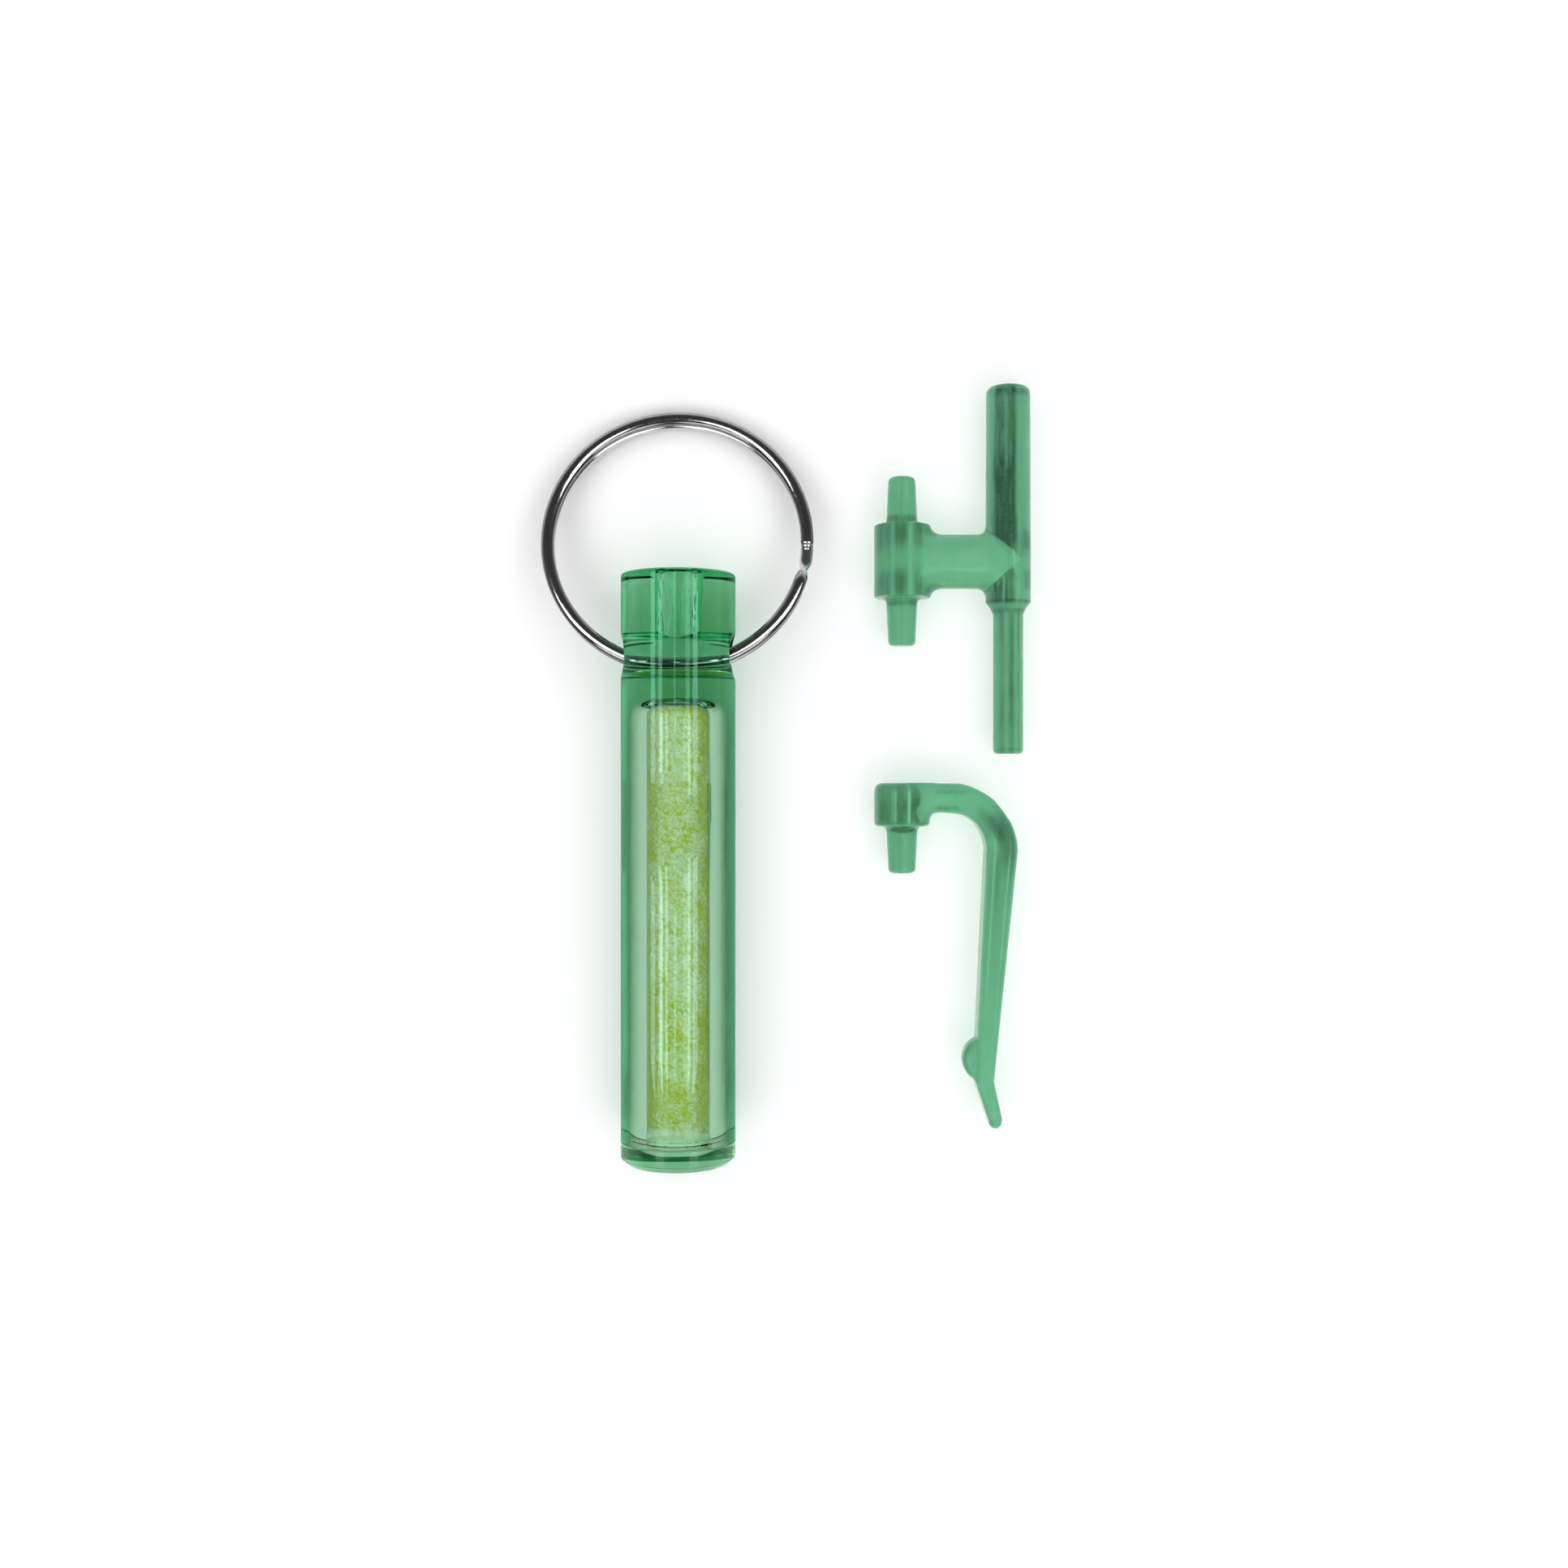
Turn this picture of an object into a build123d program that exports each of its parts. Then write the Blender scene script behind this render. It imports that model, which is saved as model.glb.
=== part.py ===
from build123d import *
import math
import os

# Luminous marker fob on a split ring, laid flat beside its two plug-in
# accessories. Millimetres. +X right, +Y along the marker towards its ring,
# +Z up from the surface that everything lies on (z = 0).
# The origin is the middle of the whole layout, on that surface.

# ---- marker housing -------------------------------------------------------
marker_x = -9.855          # axis of the marker, lying along Y
body_r = 5.2               # outer radius of housing and cap
top_y = 17.75              # end face with the accessory socket
bottom_y = -35.45          # end face of the cap
rim_break = 0.15           # moulded edge radius on the socket end

hole_y = 10.32             # cross hole for the ring
hole_r = 2.1
hole_break = 0.2

socket_mouth_r = 1.80      # flared entry
socket_flare = 0.55        # depth of the flare
socket_top_r = 1.48        # taper just under the flare
socket_low_r = 1.33        # taper where it opens into the cross hole

cavity_r = 2.93
cavity_top_y = 6.45        # under the web below the cross hole
cavity_round = 1.50        # shoulder radius at the closed end

# ---- closure --------------------------------------------------------------
cap_t = 2.0                # cap disc
cap_chamfer = 0.5
seam_t = 0.10              # cured adhesive
seam_inner_r = 3.0
seam_outer_r = 5.16

# ---- vial and fill --------------------------------------------------------
vial_r = 2.86
vial_bore_r = 2.30
vial_top_gap = 0.10        # under the top of the cavity
vial_end_t = 0.55          # thick closed end
vial_round = 1.42
core_r = 2.26
core_gap = 0.04
pad_t = 0.70
pad_gap = 0.05

# ---- split ring -----------------------------------------------------------
ring_outer_r = 12.5
wire_w = 1.16              # radial width of the wire
wire_t = 0.84              # thickness of one coil
coil_gap = 0.05
wire_round = 0.38
ring_reach = 10.9          # hole centre to ring centre
ring_dx = -0.20            # the ring has slid a little to one side
upper_start = -2.0         # cut end of the upper coil, degrees
ramp_start = -20.0         # where the upper coil starts to step down
ramp_end = -8.0            # where it has become the lower coil
lower_stop = -22.5         # cut end of the lower coil, one turn on

# ---- stem connector -------------------------------------------------------
conn_x, conn_y = 10.645, 19.30     # centre of its boss
boss_r = 2.57
conn_boss_h = 6.7
conn_boss_edge = 0.15
plug_base_r = 1.42
plug_tip_r = 1.24
plug_edge = 0.42
plug_fillet = 0.55
conn_plug_end = 7.80       # from the boss centre to each plug's tip
bar_r = 2.50
stem_dx = 9.83             # stem axis from the boss axis
stem_r = 2.08              # at the bar; the rod is drafted to its free end
stem_tip_r = 2.03
stem_top = 16.15
stem_low = -3.75
stem_edge = 0.65
thin_r = 1.39
thin_top = -4.65
thin_low = -17.77
thin_edge = 0.42

# ---- pocket clip ----------------------------------------------------------
clip_x, clip_y = 10.65, -3.14      # centre of its boss
clip_boss_h = 4.02
clip_boss_top_edge = 0.75
clip_boss_low_edge = 0.40
clip_plug_end = -6.34
arm_depth = 3.6            # width of the arm, across the layout plane
arm_edge = 0.55
bump_depth = 2.6
bump_r = 2.13
bump_c = (7.66, -23.48)
# outline of the arm, from the boss centre, in the layout plane
arm_outer = [(5.20, 1.95), (6.10, 1.72), (6.72, 1.44), (7.48, 1.06), (8.23, 0.54),
             (8.98, -0.29), (9.73, -1.34), (10.10, -2.01), (10.48, -3.29), (10.56, -4.26)]
arm_inner = [(3.75, -0.74), (5.22, -0.89), (5.98, -1.19), (6.72, -1.79), (7.10, -2.31),
             (7.48, -3.06), (7.68, -3.96)]
arm_kink_in = (6.65, -25.43)
arm_kink_out = (8.38, -25.43)
tip_in = (7.86, -29.05)
tip_out = (9.13, -28.90)


def lie(shape, x, y, z):
    """Turn a shape modelled about Z so that it lies along Y, then place it."""
    return Pos(x, y, z) * Rot(-90, 0, 0) * shape


def turned(points):
    """Solid of revolution about Z from (radius, height) points."""
    return revolve(Plane.XZ * make_face(Polyline(*points, close=True)), axis=Axis.Z)


os.makedirs("parts", exist_ok=True)

# ---------------------------------------------------------------- housing
house_low_y = bottom_y + cap_t + seam_t
length = top_y - house_low_y
blank = Pos(0, 0, length / 2) * Cylinder(body_r, length)
blank = fillet(blank.edges().sort_by(Axis.Z)[-1], rim_break)
cav_len = cavity_top_y - house_low_y
cavity = Pos(0, 0, cav_len / 2) * Cylinder(cavity_r, cav_len)
cavity = fillet(cavity.edges().sort_by(Axis.Z)[-1], cavity_round)
hole_z = hole_y - house_low_y
cross = Pos(0, 0, hole_z) * Rot(0, 90, 0) * Cylinder(hole_r, 4 * body_r)
socket = turned([(0, hole_z), (socket_low_r, hole_z), (socket_low_r, hole_z + hole_r - 0.1),
                 (socket_top_r, length - socket_flare), (socket_mouth_r, length),
                 (socket_mouth_r, length + 1), (0, length + 1)])
housing = blank - cavity - cross - socket
housing = lie(housing, marker_x, house_low_y, body_r)

# ---------------------------------------------------------------- closure
cap = Pos(0, 0, cap_t / 2) * Cylinder(body_r, cap_t)
cap = chamfer(cap.edges().sort_by(Axis.Z)[0], cap_chamfer)
end_cap = lie(cap, marker_x, bottom_y, body_r)

seam = Pos(0, 0, seam_t / 2) * (Cylinder(seam_outer_r, seam_t) - Cylinder(seam_inner_r, 2 * seam_t))
bond_seam = lie(seam, marker_x, bottom_y + cap_t, body_r)

# ---------------------------------------------------------------- vial and fill
inside_low_y = bottom_y + cap_t
vial_top_y = cavity_top_y - vial_top_gap
vial_len = vial_top_y - inside_low_y - 0.02
vial = Pos(0, 0, vial_len / 2) * Cylinder(vial_r, vial_len)
vial = fillet(vial.edges().sort_by(Axis.Z)[-1], vial_round)
bore_len = vial_len - vial_end_t
bore = Pos(0, 0, bore_len / 2) * Cylinder(vial_bore_r, bore_len)
bore = fillet(bore.edges().sort_by(Axis.Z)[-1], vial_round - 0.45)
glass_vial = lie(vial - bore, marker_x, inside_low_y + 0.02, body_r)

core_low_y = inside_low_y + 0.04 + pad_t + pad_gap
core_len = (inside_low_y + 0.02 + bore_len) - core_gap - core_low_y
core = Pos(0, 0, core_len / 2) * Cylinder(core_r, core_len)
core = fillet(core.edges().sort_by(Axis.Z)[-1], vial_round - 0.45)
luminous_core = lie(core, marker_x, core_low_y, body_r)

pad = Pos(0, 0, pad_t / 2) * Cylinder(core_r, pad_t)
pad = fillet(pad.edges(), 0.15)
seating_pad = lie(pad, marker_x, inside_low_y + 0.04, body_r)

# ---------------------------------------------------------------- split ring
rc = ring_outer_r - wire_w / 2
z_up = (wire_t + coil_gap) / 2
z_lo = -z_up


def wire_section(angle, z):
    a = math.radians(angle)
    plane = Plane(origin=(rc * math.cos(a), rc * math.sin(a), z),
                  x_dir=(math.cos(a), math.sin(a), 0),
                  z_dir=(-math.sin(a), math.cos(a), 0))
    return plane * RectangleRounded(wire_w, wire_t, wire_round)


def coil(start, stop, z):
    face = Plane.XZ * Pos(rc, z) * RectangleRounded(wire_w, wire_t, wire_round)
    arc = revolve(face, axis=Axis.Z, revolution_arc=stop - start)
    return Rot(0, 0, start) * arc


steps = 6
ramp = loft([wire_section(ramp_start + (ramp_end - ramp_start) * i / steps,
                          z_up + (z_lo - z_up) * (0.5 - 0.5 * math.cos(math.pi * i / steps)))
             for i in range(steps + 1)], ruled=True)
ring = coil(upper_start, 360 + ramp_start, z_up) + coil(ramp_end, 360 + lower_stop, z_lo) + ramp

stack = wire_t + coil_gap / 2
far = ring_reach + ring_outer_r - wire_round
half = stack - wire_round
droop = math.degrees(math.asin((body_r - wire_round) / math.hypot(far, half)) - math.atan2(half, far))
split_ring = Pos(marker_x, hole_y, body_r) * Rot(-droop, 0, 0) * Pos(ring_dx, ring_reach, 0) * ring


# ---------------------------------------------------------------- accessories
def plug(from_z, to_z):
    """Tapered plug along Z with a rounded tip and a flared foot."""
    way = 1 if to_z > from_z else -1
    long = abs(to_z - from_z)
    n = 6
    foot = [(plug_base_r + plug_fillet * (1 - math.sin(math.pi / 2 * i / n)),
             plug_fillet * (1 - math.cos(math.pi / 2 * i / n))) for i in range(n + 1)]
    tip = [(plug_tip_r - plug_edge + plug_edge * math.cos(math.pi / 2 * i / n),
            long - plug_edge + plug_edge * math.sin(math.pi / 2 * i / n)) for i in range(n + 1)]
    pts = [(0, -0.3), (foot[0][0], -0.3)] + foot + tip + [(0, long)]
    return turned([(r, from_z + way * h) for r, h in pts])


boss = Cylinder(boss_r, conn_boss_h)
boss = fillet(boss.edges().filter_by(GeomType.CIRCLE), conn_boss_edge)
h2 = conn_boss_h / 2
bar = Pos(stem_dx / 2, 0, 0) * Rot(0, 90, 0) * Cylinder(bar_r, stem_dx)
stem = turned([(0, thin_low)]
              + [(thin_r - thin_edge + thin_edge * math.sin(math.pi / 2 * i / 6),
                  thin_low + thin_edge - thin_edge * math.cos(math.pi / 2 * i / 6)) for i in range(7)] + [
               (thin_r, thin_top), (stem_r, stem_low), (stem_r, 0), (stem_tip_r, stem_top - stem_edge)]
              + [(stem_tip_r - stem_edge + stem_edge * math.cos(math.pi / 2 * i / 6),
                  stem_top - stem_edge + stem_edge * math.sin(math.pi / 2 * i / 6)) for i in range(1, 7)]
              + [(0, stem_top)])
conn = boss + bar + Pos(stem_dx, 0, 0) * stem + plug(h2, conn_plug_end) + plug(-h2, -conn_plug_end)
stem_connector = lie(conn, conn_x, conn_y, boss_r)

cboss = Cylinder(boss_r, clip_boss_h)
cboss = fillet(cboss.edges().filter_by(GeomType.CIRCLE).sort_by(Axis.Z)[-1], clip_boss_top_edge)
cboss = fillet(cboss.edges().filter_by(GeomType.CIRCLE).sort_by(Axis.Z)[0], clip_boss_low_edge)
clip_core = lie(cboss + plug(-clip_boss_h / 2, clip_plug_end), 0, 0, 0)

outer_bend = Spline(*arm_outer, tangents=[(1, 0), (-0.08, -1)])
inner_bend = Spline(*arm_inner, tangents=[(1, 0), (0, -1)])
start_top = Line((0.6, 1.95), arm_outer[0])
outer_run = Line(arm_outer[-1], arm_kink_out)
tip_side = Line(arm_kink_out, tip_out)
tip_end = ThreePointArc(tip_out, (8.62, -29.75), tip_in)
tip_back = Line(tip_in, arm_kink_in)
inner_run = Line(arm_kink_in, arm_inner[-1])
start_low = Line(arm_inner[0], (0.6, -0.74))
start_end = Line((0.6, -0.74), (0.6, 1.95))
outline = make_face([start_top, outer_bend, outer_run, tip_side, tip_end, tip_back, inner_run,
                     inner_bend, start_low, start_end])
arm = extrude(outline, arm_depth / 2, both=True)
rails = arm.edges().group_by(Axis.Z)
arm = fillet([e for e in list(rails[0]) + list(rails[-1]) if e.center().X > 0.61], arm_edge)
bump = Pos(bump_c[0], bump_c[1], 0) * Cylinder(bump_r, bump_depth)
bump = fillet(bump.edges().filter_by(GeomType.CIRCLE), 0.45)
keep = Pos(bump_c[0] - 3.0, bump_c[1], 0) * Box(6.0, 8.0, 6.0)
bump = bump & keep
pocket_clip = Pos(clip_x, clip_y, boss_r) * (clip_core + arm + bump)

nodes = {
    "housing": housing,
    "end_cap": end_cap,
    "bond_seam": bond_seam,
    "glass_vial": glass_vial,
    "luminous_core": luminous_core,
    "seating_pad": seating_pad,
    "split_ring": split_ring,
    "stem_connector": stem_connector,
    "pocket_clip": pocket_clip,
}
for name, shape in nodes.items():
    export_step(shape, f"parts/{name}.step")
    b = shape.bounding_box()
    print(name, len(shape.solids()), round(shape.volume, 3),
          [round(v, 3) for v in (b.min.X, b.min.Y, b.min.Z, b.max.X, b.max.Y, b.max.Z)])
print("droop", droop)
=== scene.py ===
import bpy
import math
import numpy as np
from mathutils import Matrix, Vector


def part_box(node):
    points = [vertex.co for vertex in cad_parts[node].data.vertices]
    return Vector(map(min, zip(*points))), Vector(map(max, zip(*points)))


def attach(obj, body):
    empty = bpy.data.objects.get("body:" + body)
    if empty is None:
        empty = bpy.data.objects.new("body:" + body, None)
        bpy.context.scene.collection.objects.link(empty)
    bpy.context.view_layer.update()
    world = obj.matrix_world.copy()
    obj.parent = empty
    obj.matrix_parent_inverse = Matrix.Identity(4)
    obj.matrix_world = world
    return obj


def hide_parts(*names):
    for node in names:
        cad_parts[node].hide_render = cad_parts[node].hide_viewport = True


# A clear green luminous marker on a split ring, laid beside its two plug-in
# accessories. Shapes are written in millimetres in the row frame, and scaled
# to metres when the meshes are made.

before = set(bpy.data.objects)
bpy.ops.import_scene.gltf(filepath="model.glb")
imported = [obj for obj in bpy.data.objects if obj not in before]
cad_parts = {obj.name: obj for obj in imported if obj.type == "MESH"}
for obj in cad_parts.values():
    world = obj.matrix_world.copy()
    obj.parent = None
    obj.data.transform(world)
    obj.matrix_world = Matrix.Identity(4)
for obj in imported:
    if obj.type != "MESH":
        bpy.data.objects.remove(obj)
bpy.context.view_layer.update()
scene = bpy.context.scene
MM = 0.001


def box_mm(node):
    lo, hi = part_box(node)
    return np.array(lo) / MM, np.array(hi) / MM


# ---------------------------------------------------------------- dimensions
h_lo, h_hi = box_mm("housing")
c_lo, c_hi = box_mm("end_cap")
s_lo, s_hi = box_mm("bond_seam")
v_lo, v_hi = box_mm("glass_vial")
k_lo, k_hi = box_mm("luminous_core")
p_lo, p_hi = box_mm("seating_pad")
n_lo, n_hi = box_mm("stem_connector")
q_lo, q_hi = box_mm("pocket_clip")

AX = (h_lo[0] + h_hi[0]) / 2          # marker axis, along Y
AZ = (h_lo[2] + h_hi[2]) / 2
R = (h_hi[0] - h_lo[0]) / 2           # 5.2
TOP = h_hi[1]                          # 17.75
LOW = h_lo[1]                          # -33.35
HOLE_Y, HOLE_R = 10.32, 2.1
CAV_R, CAV_TOP, CAV_ROUND = 2.93, 6.45, 1.50
VIAL_R = (v_hi[0] - v_lo[0]) / 2
VIAL_TOP = v_hi[1]
BORE_R, BORE_TOP = 2.30, VIAL_TOP - 0.55
CORE_R = (k_hi[0] - k_lo[0]) / 2
CORE_TOP, CORE_LOW = k_hi[1], k_lo[1]


# ---------------------------------------------------------------- mesh tools
def make_object(name, verts, faces, normals=None, mats=(), face_mat=None, body=None, node=None):
    """A smooth mesh piece. verts are in millimetres."""
    mesh = bpy.data.meshes.new(name)
    verts = np.asarray(verts, float) * MM
    if isinstance(faces, np.ndarray):
        n, k = faces.shape
        mesh.vertices.add(len(verts))
        mesh.vertices.foreach_set("co", verts.astype(np.float32).ravel())
        mesh.loops.add(n * k)
        mesh.loops.foreach_set("vertex_index", faces.astype(np.int32).ravel())
        mesh.polygons.add(n)
        mesh.polygons.foreach_set("loop_start", np.arange(0, n * k, k, dtype=np.int32))
        mesh.update(calc_edges=True)
    else:
        mesh.from_pydata([tuple(v) for v in verts], [], [tuple(int(i) for i in f) for f in faces])
    mesh.validate()
    for m in mats:
        mesh.materials.append(m)
    if face_mat is not None and len(face_mat) == len(mesh.polygons):
        mesh.polygons.foreach_set("material_index", np.asarray(face_mat, np.int32))
    mesh.polygons.foreach_set("use_smooth", np.ones(len(mesh.polygons), bool))
    if normals is not None and len(normals) == len(mesh.vertices):
        mesh.normals_split_custom_set_from_vertices(np.asarray(normals, np.float32))
    mesh.update()
    ob = bpy.data.objects.new(name, mesh)
    scene.collection.objects.link(ob)
    if body:
        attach(ob, body)
    if node:
        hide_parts(node)
    return ob


def axis_coords(marks, fine, coarse, zones):
    """Grid coordinates from marks[0] to marks[1], fine inside the zones and coarse outside."""
    out = [marks[0]]
    while out[-1] < marks[1]:
        x = out[-1]
        step = coarse
        for a, b in zones:
            if a <= x <= b:
                step = fine
                break
            if x < a:
                step = min(step, max(fine, 0.45 * (a - x)))
            else:
                step = min(step, max(fine, 0.45 * (x - b)))
        out.append(x + step)
    return np.array(out)


def surface_nets(f, xs, ys, zs):
    """Quads round the zero level of f sampled on a grid, with one vertex per crossed cell."""
    neg = f < 0
    nx, ny, nz = f.shape
    c = np.zeros((nx - 1, ny - 1, nz - 1), np.uint8)
    for i in (0, 1):
        for j in (0, 1):
            for k in (0, 1):
                c += neg[i:nx - 1 + i, j:ny - 1 + j, k:nz - 1 + k]
    act = np.argwhere((c > 0) & (c < 8))
    index = -np.ones(c.shape, np.int64)
    index[act[:, 0], act[:, 1], act[:, 2]] = np.arange(len(act))
    pos = np.zeros((len(act), 3))
    cnt = np.zeros(len(act))
    corners = [(i, j, k) for i in (0, 1) for j in (0, 1) for k in (0, 1)]
    g = (xs, ys, zs)
    for a in corners:
        for ax in range(3):
            if a[ax]:
                continue
            b = list(a)
            b[ax] = 1
            ia = tuple(act[:, t] + a[t] for t in range(3))
            ib = tuple(act[:, t] + b[t] for t in range(3))
            fa, fb = f[ia], f[ib]
            m = (fa < 0) != (fb < 0)
            t = np.zeros(len(act))
            t[m] = fa[m] / (fa[m] - fb[m])
            for d in range(3):
                pa = g[d][ia[d]]
                pb = g[d][ib[d]]
                pos[:, d] += np.where(m, pa + (pb - pa) * t, 0)
            cnt += m
    pos /= cnt[:, None]
    quads = []
    # edges along each axis whose ends differ in sign
    for ax in range(3):
        u, v = (ax + 1) % 3, (ax + 2) % 3
        sl0 = [slice(None)] * 3
        sl1 = [slice(None)] * 3
        sl0[ax] = slice(0, -1)
        sl1[ax] = slice(1, None)
        diff = neg[tuple(sl0)] != neg[tuple(sl1)]
        e = np.argwhere(diff)
        lim = [nx, ny, nz]
        ok = (e[:, u] > 0) & (e[:, u] < lim[u] - 1) & (e[:, v] > 0) & (e[:, v] < lim[v] - 1)
        e = e[ok]
        inside_first = neg[e[:, 0], e[:, 1], e[:, 2]]

        def cell(du, dv):
            q = e.copy()
            q[:, u] += du
            q[:, v] += dv
            return index[q[:, 0], q[:, 1], q[:, 2]]

        a, b, cc, d = cell(-1, -1), cell(0, -1), cell(0, 0), cell(-1, 0)
        quad = np.stack([a, b, cc, d], 1)
        quad[~inside_first] = quad[~inside_first][:, ::-1]
        quads.append(quad)
    q = np.concatenate(quads)
    return pos, q


def gradient(fun, p, h=0.004):
    g = np.zeros_like(p)
    for d in range(3):
        s = np.zeros(3)
        s[d] = h
        g[:, d] = fun(p + s) - fun(p - s)
    n = np.linalg.norm(g, axis=1, keepdims=True)
    return g / np.maximum(n, 1e-9), n[:, 0] / (2 * h)


def sdf_mesh(fun, xs, ys, zs, iterations=4):
    """Mesh of fun(p) = 0 with exact vertices and normals. fun takes (N, 3) points."""
    nx, ny, nz = len(xs), len(ys), len(zs)
    f = np.empty((nx, ny, nz), np.float32)
    yy, zz = np.meshgrid(ys, zs, indexing="ij")
    for i, x in enumerate(xs):
        p = np.stack([np.full(yy.size, x), yy.ravel(), zz.ravel()], 1)
        f[i] = fun(p).reshape(ny, nz)
    pos, quads = surface_nets(f.astype(float), xs, ys, zs)
    for _ in range(iterations):
        g, n = gradient(fun, pos)
        d = fun(pos) / np.clip(n, 0.3, 3)
        d = np.clip(d, -0.12, 0.12)
        pos = pos - g * d[:, None]
    g, n = gradient(fun, pos, 0.008)
    return pos, quads, g


def smin(a, b, k):
    h = np.maximum(k - np.abs(a - b), 0) / k
    return np.minimum(a, b) - h * h * k * 0.25


def smax(a, b, k):
    return -smin(-a, -b, k)


def seg_sdf2(px, py, pts):
    """Signed distance to a closed polygon in the plane, negative inside."""
    pts = np.asarray(pts, float)
    d = np.full(px.shape, 1e9)
    s = np.ones(px.shape)
    n = len(pts)
    for i in range(n):
        ax_, ay_ = pts[i]
        bx_, by_ = pts[(i - 1) % n]
        ex, ey = bx_ - ax_, by_ - ay_
        wx, wy = px - ax_, py - ay_
        t = np.clip((wx * ex + wy * ey) / (ex * ex + ey * ey), 0, 1)
        qx, qy = wx - ex * t, wy - ey * t
        d = np.minimum(d, qx * qx + qy * qy)
        c1 = py >= ay_
        c2 = py < by_
        c3 = ex * wy > ey * wx
        flip = (c1 & c2 & c3) | (~c1 & ~c2 & ~c3)
        s = np.where(flip, -s, s)
    return s * np.sqrt(d)


def revolve_profile(profile, segments, displace=None, cap_ends=True, axis=(AX, AZ)):
    """Surface of revolution about the marker axis. profile is [(radius, y)...] from one pole to the other."""
    prof = np.asarray(profile, float)
    ang = np.linspace(0, 2 * math.pi, segments, endpoint=False)
    r = prof[:, 0][:, None] * np.ones(segments)[None]
    y = prof[:, 1][:, None] * np.ones(segments)[None]
    a = np.ones(len(prof))[:, None] * ang[None]
    if displace is not None:
        r, y = displace(r, y, a)
    x = axis[0] + r * np.cos(a)
    z = axis[1] + r * np.sin(a)
    verts = np.stack([x, y, z], 2).reshape(-1, 3)
    faces = []
    m = len(prof)
    for i in range(m - 1):
        for j in range(segments):
            k = (j + 1) % segments
            faces.append((i * segments + j, (i + 1) * segments + j, (i + 1) * segments + k, i * segments + k))
    verts = verts.tolist()
    if cap_ends:
        verts.append((axis[0], float(y[0].mean()), axis[1]))
        s = len(verts) - 1
        for j in range(segments):
            faces.append((s, j, (j + 1) % segments))
        verts.append((axis[0], float(y[-1].mean()), axis[1]))
        e = len(verts) - 1
        b = (m - 1) * segments
        for j in range(segments):
            faces.append((e, b + (j + 1) % segments, b + j))
    return verts, faces


def arc(cx, cy, r, a0, a1, n):
    return [(cx + r * math.cos(math.radians(a0 + (a1 - a0) * i / n)),
             cy + r * math.sin(math.radians(a0 + (a1 - a0) * i / n))) for i in range(n + 1)]


# smooth repeatable noise on the plane or in space
def noise_field(seed, cells):
    rng = np.random.RandomState(seed)
    return rng.rand(*cells)


def sample_noise(tab, *coords):
    """Trilinear value noise with smooth steps, wrapping at the table's edge."""
    idx, frac = [], []
    for c, n in zip(coords, tab.shape):
        f = np.floor(c)
        t = c - f
        idx.append((f.astype(int) % n, (f.astype(int) + 1) % n))
        frac.append(t * t * (3 - 2 * t))
    out = 0
    for bits in range(2 ** len(coords)):
        w = 1
        ix = []
        for d in range(len(coords)):
            b = (bits >> d) & 1
            ix.append(idx[d][b])
            w = w * (frac[d] if b else 1 - frac[d])
        out = out + w * tab[tuple(ix)]
    return out


# ---------------------------------------------------------------- materials
def new_material(name):
    m = bpy.data.materials.new(name)
    m.use_nodes = True
    nt = m.node_tree
    nt.nodes.clear()
    out = nt.nodes.new("ShaderNodeOutputMaterial")
    return m, nt, out


def N(nt, kind, **props):
    n = nt.nodes.new(kind)
    for k, v in props.items():
        if k.startswith("_"):
            continue
        setattr(n, k, v)
    return n


def L(nt, a, b):
    nt.links.new(a, b)


def ramp(nt, stops, interpolation="LINEAR"):
    r = nt.nodes.new("ShaderNodeValToRGB")
    r.color_ramp.interpolation = interpolation
    e = r.color_ramp.elements
    while len(e) > 1:
        e.remove(e[-1])
    e[0].position, e[0].color = stops[0][0], stops[0][1]
    for p, c in stops[1:]:
        x = e.new(p)
        x.color = c
    return r


def grey(v):
    return (v, v, v, 1)


def object_coords(nt, scale=(1, 1, 1), location=(0, 0, 0)):
    """Object coordinates in millimetres, stretched."""
    tc = N(nt, "ShaderNodeTexCoord")
    mp = N(nt, "ShaderNodeMapping")
    mp.inputs["Scale"].default_value = tuple(1000 * s for s in scale)
    mp.inputs["Location"].default_value = location
    L(nt, tc.outputs["Object"], mp.inputs["Vector"])
    return mp.outputs["Vector"]


def noise(nt, vec, scale, detail=3.0, rough=0.5, distortion=0.0):
    n = N(nt, "ShaderNodeTexNoise")
    n.inputs["Scale"].default_value = scale
    n.inputs["Detail"].default_value = detail
    n.inputs["Roughness"].default_value = rough
    n.inputs["Distortion"].default_value = distortion
    L(nt, vec, n.inputs["Vector"])
    return n.outputs["Fac"]


def principled(nt, **values):
    b = N(nt, "ShaderNodeBsdfPrincipled")
    for k, v in values.items():
        b.inputs[k.replace("_", " ")].default_value = v
    return b


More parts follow.
